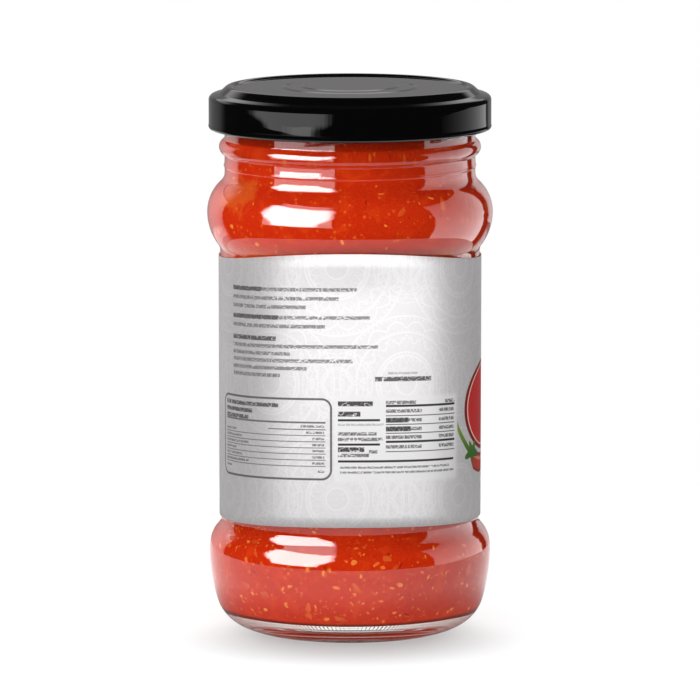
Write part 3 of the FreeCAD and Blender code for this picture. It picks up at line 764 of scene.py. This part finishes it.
curl_top = LID_END + CURL + CURL
lid_out = [point for point in trace(lid_rounds()) if point[1] > curl_top + 0.2]
lid_in = [point for point in trace(lid_rounds(STEEL), STEEL) if point[1] > curl_top + 0.5]
curl = arc(lid_top.x - CURL, LID_END + CURL, CURL, CURL_FROM, CURL_TO, CURL_SIDES)
skirt = [(LID_RADIUS - STEEL, curl_top + 0.3)] + curl + [(LID_RADIUS, curl_top)]
lid = finished_piece(spun(lid_in[::-1] + skirt + lid_out), "lacquered_lid")
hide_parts("steel_lid")

# %% [markdown]
# The lugs are short ledges bent in from the curl, which hook under the ramps. Each is a rounded
# bar turned through a few degrees, and the six of them are one mesh.

# %% Lugs
LUG_THICK, LUG_WIDTH = 0.7, 5.5
LUG_REACH = NECK + 1.25
LUG_LOW = LID_END - 0.02
LUG_TURN = math.radians(40)
LUG_STEPS, LUG_SIDES = 10, 8

lug_round = LUG_THICK / 2
lug_angle = LUG_WIDTH / LUG_REACH
lug_section = arc(LUG_REACH - LUG_THICK + lug_round, LUG_LOW + lug_round, lug_round,
                  math.pi / 2, math.pi * 1.5, LUG_SIDES)
lug_section += [(LID_RADIUS - CURL, LUG_LOW + 0.04), (LID_RADIUS - CURL, LUG_LOW + LUG_THICK)]
lugs_bm = bmesh.new()
for number in range(RAMP_COUNT):
    middle = RAMP_START + LUG_TURN + math.tau * number / RAMP_COUNT
    spin_section(lugs_bm, lug_section, middle - lug_angle / 2, lug_angle, LUG_STEPS)
merge(lugs_bm)
lugs = finished_piece(lugs_bm, "lid_lugs", smooth=False)

# %% [markdown]
# Lacquer flows before it sets, so its gloss is high but never flat: a very slow wave bends the
# reflections a little. Fine flecks break the black.

# %% Lid material
LACQUER, LACQUER_FLECK = (0.0012, 0.0011, 0.0013), (0.0022, 0.0020, 0.0022)

g = new_material("black_lacquer", lid, lugs)
point = g.place()[0]
flow = g.noise(point, 14.0, detail=1.5)
fleck = g.noise(point, 0.5, detail=1.0)
shade = g.mix(g.ramp(fleck, 0.5, 0.8), LACQUER, LACQUER_FLECK)
principled(g, Base_Color=shade, Roughness=0.0, IOR=1.5, Normal=g.bump(flow, 0.02))
print("lacquer:", len(g.tree.nodes), "nodes")

# %% [markdown]
# ## The label
#
# The wrap is one strip of coated paper round the waist, which stops short of meeting at the back.
# Its long edges bow up in front, as on a strip that is cut to sit level to the eye, so each part
# of the turned section is raised by the bow at that place. In front its upper edge reaches a
# little way up the shoulder, and there it is also drawn outwards.

# %% Label strip
OPENING = math.radians(8)
LABEL_STEPS = 176
BOW = (LABEL_RADIUS ** 2 + LABEL_ARCH ** 2) / (2 * LABEL_ARCH)
BAND_ROWS = 24
FLARE_HEIGHT, FLARE_RISE, FLARE_OUT = 7.0, 2.3, 1.5
PAPER_EDGE = 0.05


def bow_rise(forward):
    """How far the strip is raised at a distance in front of the axis, in millimetres."""
    return BOW - math.sqrt(BOW * BOW - forward * forward) if forward > 0 else 0.0


band_low, band_high = label_low.z, label_top.z - LABEL_ARCH
row_from, row_span = band_low + PAPER_EDGE, band_high - band_low - 2 * PAPER_EDGE
rows = [row_from + row_span * number / BAND_ROWS for number in range(BAND_ROWS + 1)]
corners = (LABEL_RADIUS - PAPER_EDGE, LABEL_RADIUS - PAPER + PAPER_EDGE)
section = [(LABEL_RADIUS, height) for height in rows] + [(x, band_high) for x in corners]
section += [(LABEL_RADIUS - PAPER, height) for height in rows[::-1]]
section += [(x, band_low) for x in corners[::-1]]
label_bm = bmesh.new()
spin_section(label_bm, section, math.pi / 2 + OPENING / 2, math.tau - OPENING, LABEL_STEPS)
merge(label_bm)
for vert in label_bm.verts:
    forward = max(0.0, -vert.co.y / MM)
    share = smooth_step((vert.co.z / MM - band_high) / FLARE_HEIGHT + 1)
    facing = (forward / LABEL_RADIUS) ** 2
    vert.co.z += (bow_rise(forward) + FLARE_RISE * share * facing) * MM
    outward = 1 + FLARE_OUT * share * facing * facing / LABEL_RADIUS
    vert.co.x *= outward
    vert.co.y *= outward
label = finished_piece(label_bm, "paper_wrap")
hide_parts("paper_label")

# %% [markdown]
# ## The print
#
# The paper is silver-grey and pearly, with white lace-like rosettes. Over them come the panels
# that any food label carries: blocks of small print, a framed table and a wider one with heavy
# rules. Nothing on it can be read, and the round field that starts at the right is plain red with
# a chilli of no particular kind beside it. All of it is drawn from two coordinates, the distance
# round the jar from the middle of the front, and the height on the paper.

# %% Print helpers
g = new_material("pearl_label", label)
SOFT = 0.06
point, x, y, z = g.place()
around = g.turn(x, y) * LABEL_RADIUS
forward = g.most(-y, 0.0)
up = z - (BOW - g.math("SQRT", BOW * BOW - forward * forward))


def between(value, low, high, soft=SOFT):
    """1 where low < value < high, with soft edges."""
    half = (high - low) / 2
    return g.ramp(abs(value - (low + high) / 2), half + soft, half - soft, False)


def edge(value, place, soft):
    """1 below a place and 0 above it."""
    return g.ramp(value, place + soft, place - soft, False)


def patch(left, right, low, high, soft=SOFT):
    """1 inside an upright rectangle of the paper."""
    return between(around, left, right, soft) * between(up, low, high, soft)


either = g.most
print("label: circumference", round(math.tau * LABEL_RADIUS, 1), "mm")

# %% [markdown]
# ### Rosettes
#
# A rosette is drawn in polar coordinates about its centre: plain rings, rings scalloped by a sine
# of the angle, rows of dots and a hatched crown. It repeats on a staggered grid, so that one set
# of nodes draws all of a kind.

# %% Rosettes
TILE_WIDE, TILE_HIGH = 33.0, 54.0
ROSE_AROUND, ROSE_UP = 30.0, 87.5
BIG_ROSE, SMALL_ROSE = 16.4, 16.4 * 0.52


def rosette(centre_around, centre_up, size, petals):
    """The line work of one rosette per tile, with a centre at the given place."""
    across = (around - centre_around + TILE_WIDE / 2) % TILE_WIDE - TILE_WIDE / 2
    rise = (up - centre_up + TILE_HIGH / 2) % TILE_HIGH - TILE_HIGH / 2
    away = g.length(across, rise) / size
    turn = g.math("ARCTAN2", rise, across)
    wave = abs(g.sine(turn * (petals / 2)))
    fine_wave = abs(g.sine(turn * petals))

    def line(value, place, half):
        return g.ramp(abs(value - place), half * 1.5, half * 0.5, False)

    rings = either(*(line(away, place, 0.012) for place in (0.16, 0.40, 0.45, 0.73, 0.965)))
    scallops = either(line(away - 0.10 * wave, 0.79, 0.013), line(away - 0.13 * wave, 0.26, 0.013),
                      line(away - 0.16 * fine_wave, 0.50, 0.011),
                      line(away + 0.12 * wave, 0.70, 0.011))
    dots = g.ramp(g.sine(turn * petals * 5), 0.1, 0.7, False)
    beads = dots * either(line(away, 0.425, 0.011), line(away, 0.755, 0.011),
                          line(away, 0.93, 0.012))
    hatch = g.ramp(g.sine(turn * petals * 4), 0.3, 0.8, False)
    return either(rings, scallops, beads, hatch * between(away, 0.18, 0.24, 0.01)) * (away < 1.0)


beside, under = ROSE_AROUND - TILE_WIDE / 2, ROSE_UP - TILE_HIGH / 2
lace = either(rosette(ROSE_AROUND, ROSE_UP, BIG_ROSE, 16), rosette(beside, under, BIG_ROSE, 16),
              rosette(beside, ROSE_UP, SMALL_ROSE, 8), rosette(ROSE_AROUND, under, SMALL_ROSE, 8))
print("lace: tiles of", TILE_WIDE, "by", TILE_HIGH, "mm")

# %% [markdown]
# ### Small print and tables
#
# A line of print is a row of plain dashes, one for a word, and noise along the line decides where
# the gaps between them fall. Each line is written as its two ends and its height on the paper.

# %% Small print
STROKE = 0.62
flat = g.node("CombineXYZ", inputs={0: around * 0.62, 1: up * 0.9})
words = g.node("TexNoise", {"noise_dimensions": "2D"},
               {"Vector": flat, "Scale": 1.0, "Detail": 0.0})
strokes = g.sine(around * (math.tau / STROKE) + words * 14.0)
ink_pattern = g.ramp(abs(words - 0.5), 0.026, 0.046) * (0.86 + 0.14 * strokes)
bold_pattern = g.ramp(abs(words - 0.42), 0.020, 0.036) * (0.94 + 0.06 * strokes)

LEFT = -33.2
NOTES = [(LEFT, right, level) for right, level in (
    (1.6, 82.4), (-2.6, 80.3), (-10.4, 78.3), (4.6, 75.85), (-5.8, 73.8), (6.5, 69.1),
    (-14.4, 67.4), (0.6, 65.75), (-10.2, 64.0), (-17.1, 62.3))]
HEADINGS = [(LEFT, -22.4, 82.4), (LEFT, -17.6, 75.85), (LEFT, -18.2, 70.9), (5.8, 20.2, 61.6)]


def print_lines(lines, height, soft=SOFT):
    """1 on each of some (left, right, level) bars of one height."""
    return either(*(patch(left, right, level - height / 2, level + height / 2, soft)
                    for left, right, level in lines))


small_print = print_lines(NOTES, 0.85) * ink_pattern * 0.74
headings = print_lines(HEADINGS, 1.05) * bold_pattern * 0.92
print("small print:", len(NOTES) + len(HEADINGS), "lines")

# %% [markdown]
# The framed table on the left is a rounded rectangle with rules. The one on the right is a white
# panel in two columns.

# %% Tables
FRAME, FRAME_ROUND = (-38.3, -4.4, 38.1, 56.9), 2.2


def rounded_distance(left, right, low, high, bend):
    """Distance outside a rounded rectangle, negative within it."""
    wide = g.most(abs(around - (left + right) / 2) - ((right - left) / 2 - bend), 0.0)
    tall = g.most(abs(up - (low + high) / 2) - ((high - low) / 2 - bend), 0.0)
    return g.length(wide, tall) - bend


def rules(left, right, levels, height):
    return print_lines([(left, right, level) for level in levels], height, 0.04)


frame_distance = rounded_distance(*FRAME, FRAME_ROUND)
frame_line = g.ramp(abs(frame_distance), 0.30, 0.19, False)
table_left, table_right = FRAME[0] + 1.4, FRAME[1] - 1.3
RULE_LEVELS = [48.35 - 1.44 * number for number in range(6)]
left_rules = either(rules(table_left, table_right, [51.4], 0.42),
                    rules(-20.5, table_right, [49.75], 0.24),
                    rules(table_left, table_right, RULE_LEVELS, 0.2))
left_bold = print_lines([(table_left, right, level)
                         for right, level in ((-17.6, 55.3), (-25.5, 53.7), (-27.0, 52.15))], 0.95)
cell_end = table_right - 0.3
left_cells = [(table_left, table_left + 2.6, RULE_LEVELS[-1] - 0.85),
              (table_right - 1.8, cell_end, 39.9), (table_right - 6.0, cell_end, 50.5)]
for number, level in enumerate(RULE_LEVELS):
    left_cells += [(table_left, table_left + 5 + 2.5 * (number % 3), level + 0.72),
                   (table_right - 3.2 - 1.5 * (number == 0), cell_end, level + 0.66)]
left_small = print_lines(left_cells, 0.55)

PANEL = (-3.6, 28.8, 37.5, 57.6)
FIRST, FIRST_END, SECOND, SECOND_END = -2.8, 7.0, 8.4, 28.0
white_panel = patch(*PANEL, 0.5)
heavy_rules = either(rules(FIRST, FIRST_END, [52.0, 46.3], 0.52),
                     rules(FIRST, 27.6, [42.35], 0.52),
                     rules(SECOND, SECOND_END, [55.3, 46.9], 0.52))
light_rules = rules(SECOND, SECOND_END, [53.0, 50.95, 48.9, 44.6], 0.24)
big_print = print_lines([(FIRST, 5.3, 55.85), (FIRST, 2.4, 53.45), (FIRST, 3.3, 45.1),
                         (SECOND, 14.0, 51.95), (SECOND, 14.6, 49.9)], 1.15)
panel_cells = [(SECOND, 16.0, 56.1), (24.6, SECOND_END, 56.1), (FIRST, 6.2, 48.8),
               (FIRST, 7.6, 47.5), (FIRST, 4.4, 43.75), (4.4, 6.4, 44.6)]
for level in (54.1, 51.95, 49.9, 47.95, 45.7):
    panel_cells += [(SECOND, 17.6, level), (22.6, SECOND_END - 0.3, level)]
panel_small = print_lines(panel_cells, 0.8)
footnotes = print_lines([(-2.3, 26.0, 40.9), (-2.3, 27.8, 39.75)], 0.5)
faint_row = print_lines([(FIRST, 8.0, 50.95), (8.9, 16.4, 62.95)], 0.5)

bold = either(left_bold * 0.9, big_print) * bold_pattern
fine = ink_pattern * either(left_small * 0.75, panel_small * 0.85, footnotes * 0.75,
                            faint_row * 0.45)
lines = either(frame_line * 0.85, left_rules * 0.8, heavy_rules, light_rules * 0.85)
inked = either(lines, bold, fine, small_print, headings)
print("tables:", len(left_cells) + len(panel_cells), "cells")

# %% [markdown]
# ### The red field and its chilli
#
# At the right a plain red oval with a darker border and a cream line begins, and a chilli lies
# across its lower edge. Fruit and stalk are bands about smooth curves, and the cap has five lobes.

# %% Red field
OVAL = (47.3, 53.4)
OVAL_WIDE, OVAL_HIGH = 15.0, 10.8
STALK_FROM, STALK_TO, FRUIT_TO = 29.2, 35.2, 57.0
CAP = (STALK_TO + 1.6, 43.1)
CAP_WIDE, CAP_HIGH = 3.0, 1.9
STALK_HALF, FRUIT_HALF = 0.95, 2.5

oval = g.length((around - OVAL[0]) / OVAL_WIDE, (up - OVAL[1]) / OVAL_HIGH)
oval_border = edge(oval, 1.0, 0.005)
oval_line = edge(oval, 0.91, 0.005)
oval_field = edge(oval, 0.88, 0.005)
stalk_share = g.ramp(around, STALK_FROM, STALK_TO, False)
stalk_up = 50.2 - 7.0 * stalk_share ** 0.72
stalk = between(up - stalk_up, -STALK_HALF, STALK_HALF)
stalk = stalk * between(around, STALK_FROM, STALK_TO + 0.4)
cap_x, cap_z = around - CAP[0], up - CAP[1]
cap_lobes = 1.0 + 0.35 * g.sine(g.math("ARCTAN2", cap_z, cap_x) * 5.0)
cap = edge(g.length(cap_x / CAP_WIDE, cap_z / CAP_HIGH) * cap_lobes, 1.0, 0.04)
fruit_share = g.ramp(around, STALK_TO, FRUIT_TO, False)
fruit_up = 42.2 - 3.4 * g.sine(fruit_share * math.pi * 0.9) + 3.2 * fruit_share ** 2
fruit_half = FRUIT_HALF * g.math("SQRT", g.most(1.0 - fruit_share * fruit_share, 0.0))
fruit_half = fruit_half * g.ramp(around, STALK_TO - 0.5, STALK_TO + 2.5)
fruit_side = (up - fruit_up) / g.most(fruit_half, 0.01)
fruit = edge(abs(fruit_side), 1.0, 0.05) * between(around, STALK_TO, FRUIT_TO)
shine = g.ramp(abs(fruit_side - 0.42), 0.24, 0.06) * fruit
print("red field:", OVAL_WIDE * 2, "by", OVAL_HIGH * 2, "mm")

# %% [markdown]
# ### Paper under the print
#
# Pearl paper has a metallic pigment under a clear coat: it is brightest where it faces a lamp and
# greyer at the sides. Half of its reflection is therefore metallic and rather rough, and less of
# it where ink covers the pigment.

# %% Label material
SILVER, SILVER_PALE = (0.735, 0.727, 0.730), (0.76, 0.752, 0.754)
WHITE, PAPER_WHITE = (0.84, 0.835, 0.835), (0.86, 0.86, 0.86)
INK = (0.030, 0.028, 0.030)
BORDER, CREAM, FIELD = (0.24, 0.006, 0.006), (0.85, 0.62, 0.50), (0.60, 0.018, 0.020)
FRUIT, FRUIT_EDGE, SHINE = (0.55, 0.035, 0.015), (0.26, 0.010, 0.008), (0.85, 0.42, 0.30)
LEAF, LEAF_PALE = (0.045, 0.16, 0.02), (0.20, 0.32, 0.035)

green = either(stalk, cap)
fruit_colour = g.mix(g.ramp(abs(fruit_side), 0.55, 1.0), FRUIT, FRUIT_EDGE)
green_colour = g.mix(g.ramp(up, 42.0, 50.0), LEAF, LEAF_PALE)
colour = g.layered(SILVER, (
    (g.ramp(g.noise(point, 9.0), 0.35, 0.65) * 0.25, SILVER_PALE),
    (g.ramp(g.noise(point, 0.7, roughness=0.7), 0.42, 0.62) * 0.22, WHITE),
    (lace * 0.75, WHITE), (white_panel * 0.9, PAPER_WHITE), (inked, INK), (oval_border, BORDER),
    (oval_line, CREAM), (oval_field, FIELD), (fruit, fruit_colour), (shine * 0.55, SHINE),
    (green, green_colour)))
covered = either(inked, oval_border, fruit, green, white_panel * 0.5)
grain = g.noise(point, 0.25, roughness=0.7)
principled(g, Base_Color=colour, Metallic=0.5 * (1 - covered * 0.9), Roughness=0.44,
           Specular_IOR_Level=0.3, Normal=g.bump(grain * 0.5 + lace * 0.5, 0.012, 0.5))
print("label material:", len(g.tree.nodes), "nodes")

# %% [markdown]
# ## The stand-in studio
#
# The jar stands on a round white sweep in a dark room. The dark room is why the front of the lid
# is black and the chilli keeps its colour, and the sweep is why every wall that looks down is
# veiled with pink. The sweep carries the soft shadow: part of it is the real shade on its diffuse
# paint, and part is a painted shadow, its own glow made fainter inside an ellipse that lies a
# little in front of the foot.

# %% Floor
SWEEP_RADIUS, SWEEP_LEVEL = 0.2, -0.0001
SWEEP_WHITE = (0.91, 0.96, 0.96)
SHADE_FORWARD, SHADE_FLATNESS = 20.0, 1.3
SHADE_DEPTH, SHADE_FROM, SHADE_TO = 0.49, 14.0, 45.0
GLOW_SHARE, GLOW_STRENGTH = 0.7, 1.12


def disc(level):
    """A round sheet just under the jar; the level is in metres."""
    bm = bmesh.new()
    bmesh.ops.create_circle(bm, cap_ends=True, segments=128, radius=SWEEP_RADIUS,
                            matrix=Matrix.Translation((0, 0, level)))
    return bm


floor = placed(disc(SWEEP_LEVEL), "sweep")
g = new_material("white_sweep", floor)
point, x, y, z = g.place()
# Painted shadow: the glow the camera sees is dimmed in an ellipse a little in front of the foot.
away = g.length(x, (y + SHADE_FORWARD) * SHADE_FLATNESS)
near = 1 - SHADE_DEPTH + SHADE_DEPTH * g.ramp(away, SHADE_FROM, SHADE_TO)
paint = g.node("BsdfDiffuse", inputs={"Color": SWEEP_WHITE})
strength = GLOW_STRENGTH * g.path("Is Camera Ray") * near
glow = g.node("Emission", inputs={"Strength": strength})
g.surface(g.node("MixShader", inputs={0: GLOW_SHARE, 1: paint, 2: glow}))
print("floor:", SWEEP_RADIUS, "m in radius")

# %% [markdown]
# Reflections are painted by cards, as in a product studio. The glass has a tall softbox at the
# front left, a small one near it that joins its marks, a pale board at the right and two faint
# ones far round that light its edges. The lid has three of its own, and the pearl paper a broad
# one round the camera. Each card is a part of an upright cylinder. Light linking names the pieces
# that it is for, and none of them lights the paste.

# %% Cards
DEGREES = 180 / math.pi
CARD_STEPS = 48
CARD_CLOUDS = 40.0
RAGGED_MOST = 7.0


def hidden_lamp(bm, name, strength, receivers, glow):
    """A sheet that glows for the pieces named and lets every other ray through."""
    lamp = placed(bm, name)
    graph = new_material(name + "_light", lamp)
    light = graph.node("Emission", inputs={"Strength": strength * glow(graph)})
    clear = graph.node("BsdfTransparent")
    graph.surface(graph.node("AddShader", inputs={0: light, 1: clear}))
    lamp.visible_camera = False
    lamp.visible_shadow = False
    linked = bpy.data.collections.new(name + "_for")
    for piece in receivers:
        linked.objects.link(piece)
    lamp.light_linking.receiver_collection = linked
    return lamp


def card(name, sides, levels, strength, receivers, distance=1.0, soft=1.0, foot=1.0, fall=0.0,
         fade=None):
    """An upright curved card; sides are in degrees from the front to the right, levels in metres.

    Foot is its relative width at the bottom, fall its loss towards the top, and fade the two sides
    at which it is full and gone.
    """
    middle, half = (sides[0] + sides[1]) / 2, (sides[1] - sides[0]) / 2
    low, high = levels
    bm = spun([(distance / MM, low / MM), (distance / MM, high / MM)], steps=CARD_STEPS,
              sweep=math.radians(2 * half), start=math.radians(sides[0] - 90))

    def glow(graph):
        point, x, y, z = graph.place()
        side = graph.turn(x, y) * DEGREES
        narrow = foot + (1 - foot) * graph.ramp(z * MM, low, low + 0.5 * (high - low))
        ragged = graph.noise(point, CARD_CLOUDS * distance, detail=3.0) - 0.5
        away = abs(side - middle) / narrow + ragged * 2 * min(soft, RAGGED_MOST)
        shape = graph.ramp(away, half, half - soft)
        shape = shape * (1 - fall * graph.ramp(z * MM, low, high, False))
        return shape * graph.ramp(side, fade[1], fade[0]) if fade else shape

    lamp = hidden_lamp(bm, name, strength, receivers, glow)
    lamp.visible_diffuse = False
    lamp.visible_transmission = False
    lamp.visible_volume_scatter = False


card("softbox", (-80, -12), (0.052, 0.71), 19.0, [glass], 0.71, 7.0, 0.6)
card("near_fill", (-63, -12), (0.0935, 0.190), 4.0, [glass], 0.1, 7.0, 1.4)
card("side_board", (70, 137), (-0.51, 0.85), 3.7, [glass], 1.0, 2.5, fall=0.68)
card("left_edge", (-179, -122), (-0.3, 0.4), 0.8, [glass], 1.0, 3.0, fall=-0.8, fade=(-126, -176))
card("right_edge", (146, 179), (-0.08, 0.4), 0.9, [glass], 1.0, 3.0, fade=(150, 179))
card("lid_patch", (72, 139), (0.060, 0.106), 1.15, [lid, lugs], 0.2, 4.0, fade=(139, 66))
card("lid_glint", (-86, -9), (0.1048, 0.1080), 1.8, [lid, lugs], 0.2, 16.0, 0.6)
card("lid_glint_low", (-54, -20), (0.1022, 0.1056), 0.4, [lid, lugs], 0.2, 12.0, fall=-1.5)
card("paper_card", (-67, 81), (-0.6, 1.2), 1.82, [label], 1.0, 3.0)

# %% [markdown]
# Every piece but the label also gets the light that a lit table throws up. Where it is mirrored it
# fades towards the foot, as the jar's own shadow does. Light that has left the glass again sees
# the table evenly lit, so that the thick base stays clear.

# %% Table glow
GLOW_LEVEL = SWEEP_LEVEL / 2
GLOW_FROM, GLOW_TO = 30.0, 64.0
MIRRORED, BEYOND_GLASS, ON_MATT = 1.05, 1.0, 0.08


def table_glow(graph):
    point, x, y, z = graph.place()
    through = graph.path("Is Transmission Ray")
    matt = graph.path("Diffuse Depth") > 0.5
    mirrored = graph.ramp(graph.length(x, y), GLOW_FROM, GLOW_TO) * MIRRORED
    return mirrored * (1 - through) + (BEYOND_GLASS + ON_MATT * matt) * through


hidden_lamp(disc(GLOW_LEVEL), "table_glow", 1.0, [glass, lid, lugs, core] + bits, table_glow)

# %% [markdown]
# The world is white for the camera. For mirror-like reflections and for light that is bent through
# the glass it is a studio: dark in front and above, white behind, dimmer near the horizon there.
# For light that falls on matt surfaces it is one glow, a little stronger from the left.

# %% World
EVEN_GLOW, LEFT_BIAS = 1.04, 0.2
DARK_ROOM = 0.02
STUDIO_TINT = (1.0, 0.972, 0.980)

world = bpy.data.worlds.new("studio")
bpy.context.scene.world = world
world.use_nodes = True
world.cycles.sampling_method = "NONE"
g = Graph(world.node_tree)
dx, dy, dz = g.split(g.node("TexCoord", output=0))
side = g.turn(dx, dy) * DEGREES
lift = g.math("ARCSINE", dz) * DEGREES
behind = g.most(g.ramp(side, -120.0, -136.0), g.ramp(side, 148.0, 156.0))
low_back = 1.0 - 0.71 * g.ramp(lift, -15.0, -12.0) * g.ramp(lift, 20.0, 15.0)
studio = DARK_ROOM + behind * g.ramp(lift, 36.0, 22.0) * (low_back - DARK_ROOM)
camera_ray = g.path("Is Camera Ray")
matt_ray = g.path("Diffuse Depth") > 0.5
matt_glow = EVEN_GLOW * (1.0 - LEFT_BIAS * dx)
seen = g.most(studio * (1 - matt_ray) * (1 - camera_ray), matt_glow * matt_ray)
strength = g.most(seen, camera_ray)
tint = g.mix(camera_ray, STUDIO_TINT, (1.0, 1.0, 1.0))
sky = g.node("Background", inputs={"Color": tint, "Strength": strength})
g.surface(sky, "World")

# %% [markdown]
# ## The camera
#
# The camera looks slightly down with a long lens, so that the jar's sides stay nearly parallel.
# Light that is trapped in the thick base is mirrored many times before it gets out, and the render
# counts those as glossy bounces, so it is allowed more of them than usual.

# %% Camera
CAMERA_BACK = 1.2
CAMERA_UP = 0.25
CAMERA_PITCH = math.radians(8.733)
LENS, SENSOR = 263.97, 36.0
GLOSSY_BOUNCES = 12

camera_data = bpy.data.cameras.new("camera")
camera_data.lens = LENS
camera_data.sensor_width = SENSOR
camera = bpy.data.objects.new("camera", camera_data)
camera.location = (0.0, -CAMERA_BACK, CAMERA_UP)
camera.rotation_euler = (math.pi / 2 - CAMERA_PITCH, 0.0, 0.0)
scene = bpy.context.scene
scene.collection.objects.link(camera)
scene.camera = camera
scene.view_settings.view_transform = "Standard"
scene.cycles.glossy_bounces = GLOSSY_BOUNCES
